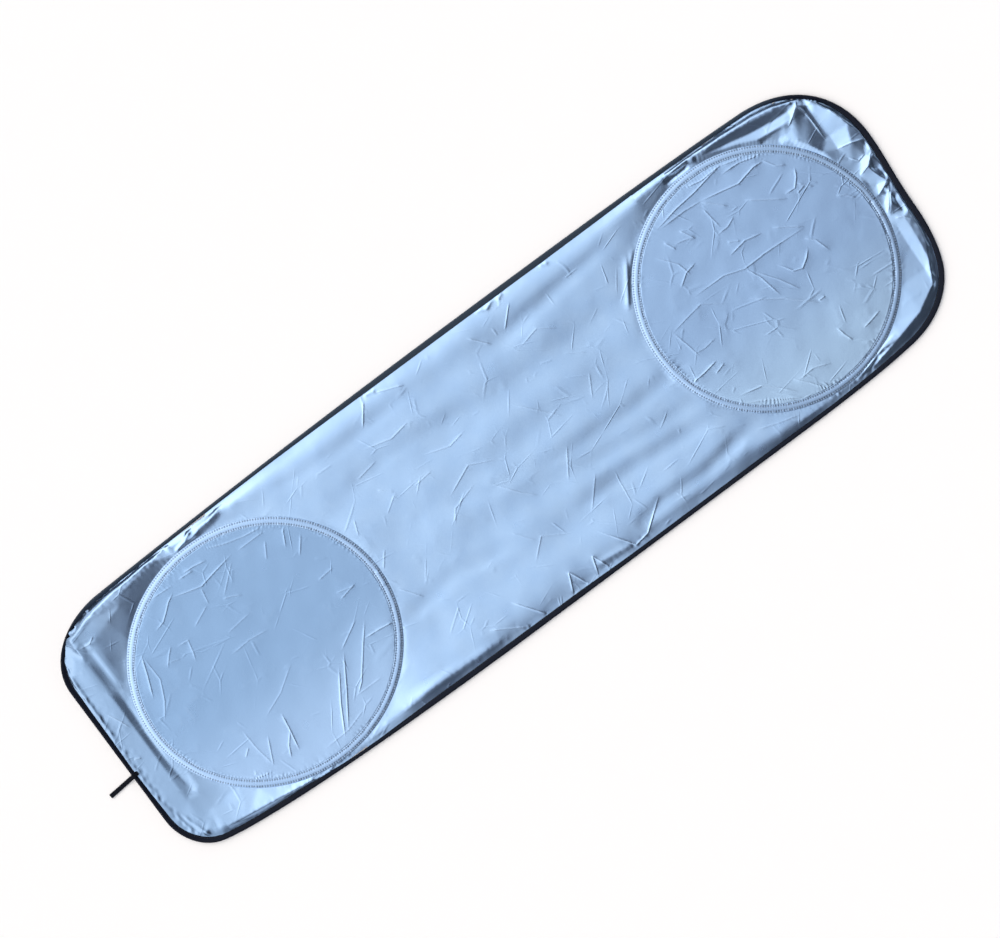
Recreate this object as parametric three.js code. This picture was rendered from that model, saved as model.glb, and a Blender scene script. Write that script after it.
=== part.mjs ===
// A pop-up windscreen sunshade, opened flat and lying face up.
//
// One sheet of silver-coated polyester is bound all round with a folded tape that holds a loop of
// spring steel wire. Two more wire hoops lie on the sheet under sewn bands, one near each end.
// Millimetres, +Z up, underside of the binding at z = 0, origin in the middle of the footprint.

import * as THREE from 'three';

// The whole shade
const PANEL_LENGTH = 1500;
const PANEL_WIDTH = 460;

// The sheet, drawn thicker than the real cloth
const CLOTH = 0.6;

// The folded tape round the edge
const BINDING_WIDTH = 9;
const TAPE = 0.65;

// The spring steel wire and the crimped tubes that join its ends
const WIRE_DIAMETER = 1.8;
const SLEEVE_WALL = 0.35;
const FRAME_SLEEVE_LENGTH = 24;
const RING_SLEEVE_LENGTH = 18;
const WIRE_END_GAP = 1;

// The bands over the two hoops
const BAND_WIDTH = 13;
const BAND_CLOTH = 0.6;
const LEFT_RING_LENGTH = 436;
const LEFT_RING_FROM_END = 51;
const LEFT_RING_FROM_TOP = 25;
const LEFT_RING_FROM_BOTTOM = 10;
const RIGHT_RING_LENGTH = 418;
const RIGHT_RING_FROM_END = 42;
const RIGHT_RING_FROM_TOP = 23;
const RIGHT_RING_FROM_BOTTOM = 8;

// The elastic strap at the left end
const STRAP_WIDTH = 7;
const STRAP_REACH = 46;
const STRAP_LAYER = 0.8;
const STRAP_LAYER_GAP = 0.4;
const STRAP_PLACE = -40;
const STRAP_TILT = THREE.MathUtils.degToRad(5);
const STRAP_TOUCHDOWN = 12;

// Clearance between pieces that touch
const FIT = 0.25;

// How high the slack cloth stands over its flat level
const MARGIN_PUFF = 8;
const MARGIN_GAP = 52;
const MARGIN_SPREAD = 70;
const DISC_DOME = 2.4;
const MIDDLE_WAVE = 1.3;
const MIDDLE_WAVE_PITCH = 76;
const LOWEST_LIFT = -0.5;

// How finely the forms are faceted
const TURN_PER_FACET = THREE.MathUtils.degToRad(9.5);
const LONGEST_FACET = 62;
const RING_FACETS = 48;
const GRID_PITCH = 43;
const CREASE_PITCH = 24;

// Sizes that follow from the ones above
const halfLength = PANEL_LENGTH / 2;
const halfWidth = PANEL_WIDTH / 2;
const wireRadius = WIRE_DIAMETER / 2;
const sleeveInside = wireRadius + FIT;
const sleeveOutside = sleeveInside + SLEEVE_WALL;
const cavityRadius = sleeveOutside + FIT;
const bulgeRadius = cavityRadius + TAPE;
const clothUnderside = TAPE + FIT;
const clothTop = clothUnderside + CLOTH;
const clothEdge = bulgeRadius + sleeveOutside + FIT;
const flatRim = BINDING_WIDTH + 1;
const flatBand = BAND_WIDTH / 2 + 1;

// Materials
const silverCloth = { color: 0xa6c4e8, roughness: 0.42, metalness: 0.35 };
const silverBand = { color: 0xbdd6f2, roughness: 0.45, metalness: 0.3 };
const blackTape = { color: 0x171c2b, roughness: 0.85, metalness: 0 };
const blackElastic = { color: 0x12161f, roughness: 0.8, metalness: 0 };
const springSteel = { color: 0x8d9196, roughness: 0.35, metalness: 0.9 };
const crimpedBrass = { color: 0xb59a5b, roughness: 0.4, metalness: 0.9 };

const left = (inset) => -halfLength + inset;
const right = (inset) => halfLength - inset;
const top = (inset) => halfWidth - inset;
const bottom = (inset) => -halfWidth + inset;
const smooth = THREE.MathUtils.smoothstep;

// The outer edge of the shade, clockwise from the foot of its straight left end.
function edgeCurves() {
  const path = new THREE.Path();
  path.moveTo(left(0), bottom(105));
  path.lineTo(left(0), top(110));
  path.bezierCurveTo(left(0), top(56), left(54), top(16), left(120), top(12));
  path.bezierCurveTo(left(330), top(4), left(550), top(0), 0, top(0));
  path.bezierCurveTo(right(550), top(0), right(300), top(1), right(150), top(8));
  path.bezierCurveTo(right(60), top(10), right(0), top(65), right(0), top(150));
  path.bezierCurveTo(right(0), 40, right(8), 0, right(9), -50);
  path.bezierCurveTo(right(10), bottom(140), right(17), bottom(105), right(28), bottom(80));
  path.bezierCurveTo(right(44), bottom(46), right(82), bottom(14), right(140), bottom(8));
  path.bezierCurveTo(right(200), bottom(1), right(280), bottom(0), right(350), bottom(0));
  path.lineTo(left(600), bottom(0));
  path.bezierCurveTo(left(450), bottom(1), left(310), bottom(4), left(190), bottom(12));
  path.bezierCurveTo(left(140), bottom(16), left(78), bottom(21), left(50), bottom(30));
  path.bezierCurveTo(left(23), bottom(39), left(1), bottom(70), left(0), bottom(105));
  return path.curves;
}

// Points along the edge, closer together where it turns.
function edgePoints() {
  const points = [];
  for (const curve of edgeCurves()) {
    const turn = curve.getTangent(0).angleTo(curve.getTangent(1));
    const steps = Math.max(turn / TURN_PER_FACET, curve.getLength() / LONGEST_FACET);
    points.push(...curve.getSpacedPoints(Math.ceil(steps)).slice(0, -1));
  }
  return points;
}

// The oval centre line of a hoop, from the outline of its band.
function oval(start, end, low, high) {
  return {
    x: (start + end) / 2,
    y: (low + high) / 2,
    halfLength: (end - start - BAND_WIDTH) / 2,
    halfWidth: (high - low - BAND_WIDTH) / 2,
  };
}

const leftStart = left(BINDING_WIDTH + LEFT_RING_FROM_END);
const LEFT_RING = oval(
  leftStart,
  leftStart + LEFT_RING_LENGTH,
  bottom(BINDING_WIDTH + LEFT_RING_FROM_BOTTOM),
  top(BINDING_WIDTH + LEFT_RING_FROM_TOP),
);
const rightEnd = right(BINDING_WIDTH + RIGHT_RING_FROM_END);
const RIGHT_RING = oval(
  rightEnd - RIGHT_RING_LENGTH,
  rightEnd,
  bottom(BINDING_WIDTH + RIGHT_RING_FROM_BOTTOM),
  top(BINDING_WIDTH + RIGHT_RING_FROM_TOP),
);

// Points of an oval, clockwise like the edge.
function ringPoints(ring, facets, phase = 0, wider = 0) {
  return Array.from({ length: facets }, (_, i) => {
    const angle = (-2 * Math.PI * (i + phase)) / facets;
    const x = ring.x + (ring.halfLength + wider) * Math.cos(angle);
    const y = ring.y + (ring.halfWidth + wider) * Math.sin(angle);
    return new THREE.Vector2(x, y);
  });
}

// The way into a clockwise loop at each of its points, long enough to keep facets parallel.
function inwardMiters(points) {
  return points.map((point, i) => {
    const before = point.clone().sub(points.at(i - 1)).normalize();
    const after = points[(i + 1) % points.length].clone().sub(point).normalize();
    const miter = new THREE.Vector2(before.y + after.y, -before.x - after.x).normalize();
    const slant = miter.x * after.y - miter.y * after.x;
    return miter.divideScalar(slant);
  });
}

function insetLoop(points, inset) {
  const miters = inwardMiters(points);
  return points.map((point, i) => point.clone().addScaledVector(miters[i], inset));
}

// A geometry from corners and faces, turned so that its faces point out.
function closedGeometry(corners, faces) {
  let volume = 0;
  for (const [a, b, c] of faces) {
    volume += corners[a].dot(corners[b].clone().cross(corners[c]));
  }
  const index = volume < 0 ? faces.flatMap(([a, b, c]) => [a, c, b]) : faces.flat();
  const geometry = new THREE.BufferGeometry();
  geometry.setFromPoints(corners);
  geometry.setIndex(index);
  geometry.computeVertexNormals();
  return geometry;
}

// A section of (inset, height) points carried along a loop. A cut loop is closed by two end caps.
function sweep(points, miters, section, isCut = false) {
  const corners = [];
  const faces = [];
  const ring = section.length;
  points.forEach((point, i) => {
    for (const [inset, height] of section) {
      const corner = point.clone().addScaledVector(miters[i], inset);
      corners.push(new THREE.Vector3(corner.x, corner.y, height));
    }
  });
  const spans = isCut ? points.length - 1 : points.length;
  for (let i = 0; i < spans; i += 1) {
    const next = (i + 1) % points.length;
    for (let k = 0; k < ring; k += 1) {
      const m = (k + 1) % ring;
      faces.push([i * ring + k, i * ring + m, next * ring + m]);
      faces.push([i * ring + k, next * ring + m, next * ring + k]);
    }
  }
  if (isCut) {
    const last = (points.length - 1) * ring;
    for (let k = 1; k < ring - 1; k += 1) {
      faces.push([0, k + 1, k]);
      faces.push([last, last + k, last + k + 1]);
    }
  }
  return closedGeometry(corners, faces);
}

function mesh(name, geometry, finish) {
  const piece = new THREE.Mesh(geometry, new THREE.MeshStandardMaterial(finish));
  piece.name = name;
  return piece;
}

// A hexagonal wire round a loop, with its two ends meeting in the middle of the first facet.
function wireGeometry(loop, inset, height) {
  const points = insetLoop(loop, inset);
  const miters = inwardMiters(points);
  const along = points[1].clone().sub(points[0]).normalize();
  const middle = points[0].clone().lerp(points[1], 0.5);
  const across = new THREE.Vector2(along.y, -along.x);
  const start = middle.clone().addScaledVector(along, WIRE_END_GAP / 2);
  const end = middle.clone().addScaledVector(along, -WIRE_END_GAP / 2);
  const section = Array.from({ length: 6 }, (_, k) => [
    wireRadius * Math.cos((Math.PI * k) / 3),
    height + wireRadius * Math.sin((Math.PI * k) / 3),
  ]);
  const path = [start, ...points.slice(1), points[0], end];
  return sweep(path, [across, ...miters.slice(1), miters[0], across], section, true);
}

// The crimped tube round the two ends of a wire.
function sleeveGeometry(loop, inset, height, length) {
  const points = insetLoop(loop, inset);
  const middle = points[0].clone().lerp(points[1], 0.5);
  const direction = points[1].clone().sub(points[0]).angle();
  const wall = [
    new THREE.Vector2(sleeveInside, -length / 2),
    new THREE.Vector2(sleeveOutside, -length / 2),
    new THREE.Vector2(sleeveOutside, length / 2),
    new THREE.Vector2(sleeveInside, length / 2),
    new THREE.Vector2(sleeveInside, -length / 2),
  ];
  const tube = new THREE.LatheGeometry(wall, 12);
  tube.rotateZ(-Math.PI / 2);
  tube.rotateZ(direction);
  tube.translate(middle.x, middle.y, height);
  return tube;
}

// The tape folded round the wire: a bulge over the wire and two legs that grip the sheet.
function bindingSection() {
  const outer = bulgeRadius * Math.tan(Math.PI / 8);
  const inner = cavityRadius * Math.tan(Math.PI / 8);
  const centre = bulgeRadius;
  const height = 2 * bulgeRadius;
  const legTop = clothTop + FIT + TAPE;
  return [
    [BINDING_WIDTH, 0],
    [centre - outer, 0],
    [0, centre - outer],
    [0, centre + outer],
    [centre - outer, height],
    [centre + outer, height],
    [BINDING_WIDTH, legTop],
    [BINDING_WIDTH, legTop - TAPE],
    [centre + inner, height - TAPE],
    [centre - inner, height - TAPE],
    [TAPE, centre + inner],
    [TAPE, centre - inner],
    [centre - inner, TAPE],
    [BINDING_WIDTH, TAPE],
  ];
}

// The band over a hoop: a hump over the wire and a sewn leg on each side.
function bandSection() {
  const legBase = clothTop + FIT;
  const legTop = legBase + BAND_CLOTH;
  const crown = legBase + 2 * sleeveOutside + FIT;
  const crownInside = cavityRadius * 0.57;
  const footInside = cavityRadius * 1.66;
  const wall = BAND_CLOTH * 1.15;
  const half = BAND_WIDTH / 2;
  return [
    [-half, legTop],
    [-footInside - wall, legTop],
    [-crownInside - wall / 2, crown + BAND_CLOTH],
    [crownInside + wall / 2, crown + BAND_CLOTH],
    [footInside + wall, legTop],
    [half, legTop],
    [half, legBase],
    [footInside, legBase],
    [crownInside, crown],
    [-crownInside, crown],
    [-footInside, legBase],
    [-half, legBase],
  ];
}

// The slack cloth

// Creases pressed into the sheet, as lines of points with a half width and a height.
const CREASES = [
  // near the top left corner and the left end
  { line: [[-722, 128], [-700, 168], [-640, 194], [-560, 202]], half: 11, height: 3.5 },
  { line: [[-716, 60], [-703, -60], [-690, -160]], half: 12, height: 2.2 },
  { line: [[-706, -150], [-668, -176], [-600, -198]], half: 11, height: 2.6 },
  // inside the left hoop
  { line: [[-585, 119], [-560, 127], [-535, 146], [-490, 133], [-424, 145]], half: 9, height: 1.8 },
  { line: [[-450, 172], [-405, 160], [-360, 150]], half: 8, height: 1.4 },
  { line: [[-629, 98], [-634, 50], [-658, 0]], half: 8, height: 1.6 },
  { line: [[-348, 103], [-338, 128]], half: 7, height: 1.2 },
  { line: [[-335, -82], [-283, -88]], half: 8, height: 1.6 },
  { line: [[-450, -185], [-420, -140], [-375, -78], [-332, -52]], half: 9, height: 2 },
  { line: [[-510, -98], [-520, -160]], half: 8, height: 1.3 },
  { line: [[-572, -90], [-565, -155]], half: 8, height: 1.3 },
  // between the hoops
  { line: [[-165, 152], [-120, 140], [-83, 146]], half: 9, height: 1.8 },
  { line: [[-95, 90], [-55, 77], [-23, 83]], half: 9, height: 1.5 },
  { line: [[-100, 15], [-50, 37], [-10, 18]], half: 9, height: 1.6 },
  { line: [[-120, -25], [-105, -5], [-60, 8]], half: 8, height: 1.3 },
  { line: [[-40, -5], [-10, -45], [10, -65]], half: 9, height: 1.5 },
  { line: [[60, 72], [112, 12]], half: 9, height: 1.4 },
  { line: [[60, -75], [90, -30]], half: 8, height: 1.3 },
  { line: [[-175, -182], [-128, -206]], half: 10, height: 2.4 },
  { line: [[50, -165], [82, -204], [112, -204], [155, -176]], half: 10, height: 2.6 },
  { line: [[125, 135], [160, 143], [185, 125]], half: 9, height: 1.5 },
  // inside the right hoop
  { line: [[400, 153], [470, 163], [530, 170]], half: 9, height: 1.8 },
  { line: [[480, 142], [540, 134], [590, 146]], half: 9, height: 1.5 },
  { line: [[540, 108], [590, 78], [622, 92]], half: 9, height: -1.4 },
  { line: [[465, 57], [500, 60], [545, 50], [590, 25]], half: 9, height: 1.6 },
  { line: [[385, 38], [475, 26], [580, 20]], half: 9, height: 1.6 },
  { line: [[475, 18], [500, -50], [530, -80]], half: 9, height: 1.4 },
  { line: [[312, -68], [352, -64]], half: 8, height: 1.8 },
  { line: [[350, -127], [388, -136], [425, -172]], half: 9, height: 1.6 },
  // at the right end
  { line: [[722, 52], [700, 33], [706, -8]], half: 10, height: 2.6 },
  { line: [[700, 128], [690, 165], [664, 182]], half: 10, height: 2.8 },
  { line: [[560, -206], [640, -194], [690, -168]], half: 11, height: 3 },
  // outside the right hoop
  { line: [[350, 152], [322, 112], [298, 74]], half: 9, height: 2.2 },
];

const CREASE_LINES = CREASES.map(({ line, half, height }) => {
  const corners = line.map(([x, y]) => new THREE.Vector2(x, y));
  const curve = new THREE.SplineCurve(corners);
  const steps = Math.max(2, Math.round(curve.getLength() / CREASE_PITCH));
  return { points: curve.getSpacedPoints(steps), half, height };
});

// How far a point lies from a line of points, and the share of the line that lies before it.
function distanceToLine(point, line, isLoop = false) {
  let nearest = Infinity;
  let share = 0;
  const spans = isLoop ? line.length : line.length - 1;
  for (let i = 0; i < spans; i += 1) {
    const start = line[i];
    const span = line[(i + 1) % line.length].clone().sub(start);
    const reach = point.clone().sub(start).dot(span) / span.lengthSq();
    const t = THREE.MathUtils.clamp(reach, 0, 1);
    const distance = start.clone().addScaledVector(span, t).distanceTo(point);
    if (distance < nearest) {
      nearest = distance;
      share = (i + t) / spans;
    }
  }
  return { distance: nearest, share };
}

// How far a point lies outside a hoop's centre line, less than zero inside it.
function distanceToRing(point, ring) {
  const x = (point.x - ring.x) / ring.halfLength;
  const y = (point.y - ring.y) / ring.halfWidth;
  return (Math.hypot(x, y) - 1) * Math.min(ring.halfLength, ring.halfWidth);
}

// The height of the slack cloth over its flat level. It is zero where the sheet is sewn down.
function liftAt(point, edge) {
  const toEdge = distanceToLine(point, edge, true).distance;
  const toLeft = distanceToRing(point, LEFT_RING);
  const toRight = distanceToRing(point, RIGHT_RING);
  const toRing = Math.abs(toLeft) < Math.abs(toRight) ? toLeft : toRight;
  const fromEdge = toEdge - flatRim;
  const fromBand = Math.abs(toRing) - flatBand;
  const held = smooth(fromEdge, 0, 16) * smooth(fromBand, 0, 14);
  let lift = 0;
  if (toRing < 0) {
    lift += DISC_DOME * smooth(-toRing, 0, LEFT_RING.halfWidth);
  } else {
    const gap = Math.max(fromEdge, 0) + Math.max(fromBand, 0);
    const near = Math.exp(-(((gap - MARGIN_GAP) / MARGIN_SPREAD) ** 2));
    const height = Math.min((MARGIN_PUFF * gap) / MARGIN_GAP, MARGIN_PUFF) * near;
    lift += (4 * height * Math.max(fromEdge, 0) * Math.max(fromBand, 0)) / Math.max(gap, 1) ** 2;
    const middle = smooth(gap, MARGIN_GAP, MARGIN_GAP + MARGIN_SPREAD);
    lift += MIDDLE_WAVE * middle * (1 + Math.sin((2 * Math.PI * point.y) / MIDDLE_WAVE_PITCH));
  }
  for (const { points, half, height } of CREASE_LINES) {
    const { distance, share } = distanceToLine(point, points);
    const ends = 4 * Math.max(share, 0.12) * Math.max(1 - share, 0.12);
    lift += height * Math.min(ends, 1) * Math.max(0, 1 - distance / half);
  }
  return Math.max(lift * held, LOWEST_LIFT);
}

// The mesh points of the sheet: its edge, both sides of each band, the creases and a loose grid.
function sheetPoints(edge) {
  const rim = insetLoop(edge, clothEdge);
  const nearRim = insetLoop(edge, flatRim).map((point, i, all) => {
    return point.clone().lerp(all[(i + 1) % all.length], 0.5);
  });
  const points = [];
  const add = (candidates, room) => {
    for (const candidate of candidates) {
      if (points.every((point) => point.distanceTo(candidate) > room)) {
        points.push(candidate);
      }
    }
  };
  add(rim, 0);
  for (const ring of [LEFT_RING, RIGHT_RING]) {
    add(ringPoints(ring, RING_FACETS, 0, flatBand), 0);
    add(ringPoints(ring, RING_FACETS, 0.5, -flatBand), 0);
  }
  add(nearRim, 4);
  const isInside = (point) => isInLoop(point, rim) && distanceToLine(point, rim, true).distance > 7;
  for (const { points: line, half } of CREASE_LINES) {
    const sides = [0, -half, half].flatMap((offset) => offsetLine(line, offset));
    add(sides.filter(isInside), 6);
  }
  const grid = [];
  const rowPitch = (GRID_PITCH * Math.sqrt(3)) / 2;
  for (let row = -Math.ceil(halfWidth / rowPitch); row * rowPitch < halfWidth; row += 1) {
    const shift = (row % 2) * (GRID_PITCH / 2);
    for (let x = -halfLength + shift; x < halfLength; x += GRID_PITCH) {
      grid.push(new THREE.Vector2(x, row * rowPitch));
    }
  }
  add(grid.filter(isInside), GRID_PITCH * 0.52);
  return { points: points.map(nudged), rim };
}

// A hair's breadth off place, so that no four points lie on one circle.
function nudged(point, i) {
  const step = 0.004;
  return new THREE.Vector2(point.x + step * Math.sin(7 * i), point.y + step * Math.cos(11 * i));
}

function offsetLine(line, offset) {
  return line.map((point, i) => {
    const before = line[Math.max(i - 1, 0)];
    const after = line[Math.min(i + 1, line.length - 1)];
    const along = after.clone().sub(before).normalize();
    return new THREE.Vector2(point.x - along.y * offset, point.y + along.x * offset);
  });
}

function isInLoop(point, loop) {
  let inside = false;
  loop.forEach((a, i) => {
    const b = loop.at(i - 1);
    const crosses = a.y > point.y !== b.y > point.y;
    if (crosses && point.x < ((b.x - a.x) * (point.y - a.y)) / (b.y - a.y) + a.x) {
      inside = !inside;
    }
  });
  return inside;
}

// Delaunay triangles of a set of points, added one by one.
function triangulate(points) {
  const far = 4 * PANEL_LENGTH;
  const outer = [[-far, -far], [far, -far], [0, far]].map(([x, y]) => new THREE.Vector2(x, y));
  const all = [...points, ...outer];
  const withCircle = (a, b, c) => {
    const [p, q, r] = [all[a], all[b].clone().sub(all[a]), all[c].clone().sub(all[a])];
    const d = 2 * q.cross(r);
    const x = (r.y * q.lengthSq() - q.y * r.lengthSq()) / d;
    const y = (q.x * r.lengthSq() - r.x * q.lengthSq()) / d;
    return { corners: [a, b, c], centre: new THREE.Vector2(p.x + x, p.y + y), radius: Math.hypot(x, y) };
  };
  let triangles = [withCircle(points.length, points.length + 1, points.length + 2)];
  points.forEach((point, i) => {
    const hollow = new Map();
    const kept = [];
    for (const triangle of triangles) {
      if (triangle.centre.distanceTo(point) > triangle.radius) {
        kept.push(triangle);
        continue;
      }
      const [a, b, c] = triangle.corners;
      for (const side of [[a, b], [b, c], [c, a]]) {
        const twin = `${side[1]},${side[0]}`;
        if (!hollow.delete(twin)) {
          hollow.set(`${side[0]},${side[1]}`, side);
        }
      }
    }
    triangles = kept.concat([...hollow.values()].map(([a, b]) => withCircle(a, b, i)));
  });
  return triangles.map(({ corners }) => corners).filter((t) => Math.max(...t) < points.length);
}

// The sheet as one closed solid: its top, its underside and the cut edge between them.
function sheetGeometry(edge) {
  const { points, rim } = sheetPoints(edge);
  const triangles = triangulate(points).filter(([a, b, c]) => {
    const middle = points[a].clone().add(points[b]).add(points[c]).divideScalar(3);
    return isInLoop(middle, rim);
  });
  const lifts = points.map((point) => liftAt(point, edge));
  for (const [a, b, c] of triangles) {
    for (const [p, q] of [[a, b], [b, c], [c, a]]) {
      const isSewn = [LEFT_RING, RIGHT_RING].some((ring) => {
        return distanceToRing(points[p], ring) * distanceToRing(points[q], ring) < 0;
      });
      if (isSewn || Math.min(p, q) < rim.length) {
        lifts[p] = 0;
        lifts[q] = 0;
      }
    }
  }
  const count = points.length;
  const corners = [
    ...points.map((point, i) => new THREE.Vector3(point.x, point.y, clothTop + lifts[i])),
    ...points.map((point, i) => new THREE.Vector3(point.x, point.y, clothUnderside + lifts[i])),
  ];
  const faces = [];
  const openSides = new Map();
  for (const [a, b, c] of triangles) {
    faces.push([a, b, c], [a + count, c + count, b + count]);
    for (const side of [[a, b], [b, c], [c, a]]) {
      if (!openSides.delete(`${side[1]},${side[0]}`)) {
        openSides.set(`${side[0]},${side[1]}`, side);
      }
    }
  }
  for (const [a, b] of openSides.values()) {
    faces.push([a, a + count, b + count], [a, b + count, b]);
  }
  return closedGeometry(corners, faces);
}

// The doubled elastic: sewn down on the binding, out over the wire and down to the ground.
function strapGeometry() {
  const legTop = clothTop + FIT + TAPE;
  const bulgeTop = 2 * bulgeRadius + FIT;
  const flat = bulgeRadius * Math.tan(Math.PI / 8);
  const under = [
    [-BINDING_WIDTH, legTop + FIT],
    [-bulgeRadius - flat, bulgeTop],
    [-bulgeRadius + flat, bulgeTop],
    [TAPE, bulgeTop - TAPE],
    [STRAP_TOUCHDOWN - TAPE, TAPE],
    [STRAP_TOUCHDOWN + 2 * TAPE, 0],
    [STRAP_REACH, 0],
  ].map(([x, y]) => new THREE.Vector2(x, y));
  const layer = (offset, shorter) => {
    const line = offsetLine(under, offset);
    line.at(-1).x -= shorter;
    return line;
  };
  const outline = [
    ...layer(0, 0),
    ...layer(2 * STRAP_LAYER + STRAP_LAYER_GAP, 0).reverse(),
    ...layer(STRAP_LAYER + STRAP_LAYER_GAP, STRAP_LAYER),
    ...layer(STRAP_LAYER, STRAP_LAYER).reverse(),
  ];
  const strap = new THREE.ExtrudeGeometry(new THREE.Shape(outline), {
    depth: STRAP_WIDTH,
    bevelEnabled: false,
  });
  strap.translate(0, 0, -STRAP_WIDTH / 2);
  strap.rotateX(Math.PI / 2);
  strap.rotateZ(Math.PI + STRAP_TILT);
  strap.translate(left(0), STRAP_PLACE, 0);
  return strap;
}

// The shade put together

const sunshade = new THREE.Group();
sunshade.name = 'sunshade';

const edge = edgePoints();
const lowestSpan = edge.findIndex((point, i) => {
  return point.y === bottom(0) && edge[(i + 1) % edge.length].x < 0 && point.y === edge[i + 1].y;
});
const edgeFromSleeve = [...edge.slice(lowestSpan), ...edge.slice(0, lowestSpan)];
const bindingGeometry = sweep(edge, inwardMiters(edge), bindingSection());

sunshade.add(
  mesh('reflective_panel', sheetGeometry(edge), silverCloth),
  mesh('edge_binding', bindingGeometry, blackTape),
  mesh('frame_wire', wireGeometry(edgeFromSleeve, bulgeRadius, bulgeRadius), springSteel),
  mesh(
    'frame_wire_sleeve',
    sleeveGeometry(edgeFromSleeve, bulgeRadius, bulgeRadius, FRAME_SLEEVE_LENGTH),
    crimpedBrass,
  ),
  mesh('fold_strap', strapGeometry(), blackElastic),
);

const hoopHeight = clothTop + FIT + sleeveOutside;
for (const [side, ring] of [['left', LEFT_RING], ['right', RIGHT_RING]]) {
  const loop = ringPoints(ring, RING_FACETS);
  sunshade.add(
    mesh(`${side}_ring_channel`, sweep(loop, inwardMiters(loop), bandSection()), silverBand),
    mesh(`${side}_ring_wire`, wireGeometry(loop, 0, hoopHeight), springSteel),
    mesh(`${side}_ring_sleeve`, sleeveGeometry(loop, 0, hoopHeight, RING_SLEEVE_LENGTH), crimpedBrass),
  );
}

// The middle of the footprint goes to the origin.
const footprint = new THREE.Box3().setFromObject(sunshade).getCenter(new THREE.Vector3());
sunshade.position.set(-footprint.x, -footprint.y, 0);
sunshade.updateMatrixWorld(true);

export default sunshade;
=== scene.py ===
# %% [markdown]
# # A pop-up windscreen sunshade
#
# The real thing is one sheet of silver-coated polyester. A folded tape runs round its edge
# and holds a loop of spring steel wire. Two more wire hoops are sewn on under silver bands.
# It lies flat, face up, so nearly all of its look is in the shape of slack, creased cloth.
# The frame comes first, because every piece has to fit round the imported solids.

# %% Load the frame
import math

import bpy
import numpy as np
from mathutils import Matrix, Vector, geometry


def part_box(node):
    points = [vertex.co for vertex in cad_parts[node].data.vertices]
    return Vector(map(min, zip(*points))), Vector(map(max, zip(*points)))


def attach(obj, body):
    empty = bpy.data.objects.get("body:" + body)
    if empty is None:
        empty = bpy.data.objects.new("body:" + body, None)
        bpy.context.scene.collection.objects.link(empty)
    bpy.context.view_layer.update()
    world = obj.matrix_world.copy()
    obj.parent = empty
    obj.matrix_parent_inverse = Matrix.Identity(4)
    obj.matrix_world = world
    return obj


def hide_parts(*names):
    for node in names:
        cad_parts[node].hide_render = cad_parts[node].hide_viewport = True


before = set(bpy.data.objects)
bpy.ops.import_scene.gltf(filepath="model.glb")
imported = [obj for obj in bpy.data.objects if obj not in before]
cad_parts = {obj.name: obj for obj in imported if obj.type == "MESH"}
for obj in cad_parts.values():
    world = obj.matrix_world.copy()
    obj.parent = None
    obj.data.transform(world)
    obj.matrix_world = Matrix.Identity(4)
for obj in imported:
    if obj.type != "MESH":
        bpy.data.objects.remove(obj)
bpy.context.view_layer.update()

tape_low, tape_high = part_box("edge_binding")
centre = (tape_low + tape_high) / 2
print("panel", [round(side, 4) for side in tape_high - tape_low], "centre", list(centre))

# %% [markdown]
# ## Working in millimetres on the panel
#
# Cloth sizes are easier to think of in millimetres from the middle of the panel.
# One helper turns such points into metres in the shared frame, and nothing else converts.

# %% Units and places
MM = 0.001


def place(points_mm):
    """Points in millimetres from the panel's middle, as metres in the frame."""
    points = np.asarray(points_mm, float) * MM
    points[..., 0] += centre.x
    points[..., 1] += centre.y
    return points


def deselect():
    bpy.ops.object.select_all(action="DESELECT")


def take(piece):
    """Makes one piece the only one selected, and active."""
    deselect()
    piece.select_set(True)
    bpy.context.view_layer.objects.active = piece


# %% [markdown]
# ## The edge of the shade
#
# The outline is the shape that the wire springs into: a long rectangle with round corners,
# a straight left end and a right end that bends in a little. A few Bezier pieces give it,
# and points are then spread along it evenly, so that tape and stitches keep an even pitch.

# %% The outline
# Each row is a corner point and the two handles towards the next corner point.
EDGE = [
    ((-750, -125), (-750, -50), (-750, 50)),
    ((-750, 120), (-750, 174), (-696, 214)),
    ((-630, 218), (-420, 226), (-200, 230)),
    ((0, 230), (200, 230), (450, 229)),
    ((600, 222), (690, 220), (750, 165)),
    ((750, 80), (750, 40), (742, 0)),
    ((741, -50), (740, -90), (733, -125)),
    ((722, -150), (706, -184), (668, -216)),
    ((610, -222), (550, -229), (470, -230)),
    ((400, -230), (200, -230), (0, -230)),
    ((-150, -230), (-300, -229), (-440, -226)),
    ((-560, -218), (-610, -214), (-672, -209)),
    ((-700, -200), (-727, -191), (-749, -160)),
]
CURVE_STEPS = 80
OUTLINE_PITCH = 3.0
BAND = 13.0  # the width of a hoop's band
SIDES = ("left", "right")


def even_loop(points, pitch):
    """A closed line of points, spread again at an even pitch."""
    ring = np.vstack([points, points[:1]])
    along = np.r_[0, np.cumsum(np.hypot(*np.diff(ring, axis=0).T))]
    count = int(round(along[-1] / pitch))
    stations = np.linspace(0, along[-1], count, endpoint=False)
    return np.c_[np.interp(stations, along, ring[:, 0]), np.interp(stations, along, ring[:, 1])]


def inward(loop):
    """The unit vectors that point into a clockwise loop."""
    along = np.roll(loop, -1, axis=0) - np.roll(loop, 1, axis=0)
    along /= np.hypot(*along.T)[:, None]
    return np.c_[along[:, 1], -along[:, 0]]


def edge_loop(pitch):
    """The shade's outline, clockwise, as points at an even pitch."""
    points = []
    for row, (start, first, second) in enumerate(EDGE):
        end = EDGE[(row + 1) % len(EDGE)][0]
        curve = [Vector((*p, 0)) for p in (start, first, second, end)]
        points += [p[:2] for p in geometry.interpolate_bezier(*curve, CURVE_STEPS)[:-1]]
    return even_loop(np.array(points), pitch)


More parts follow.
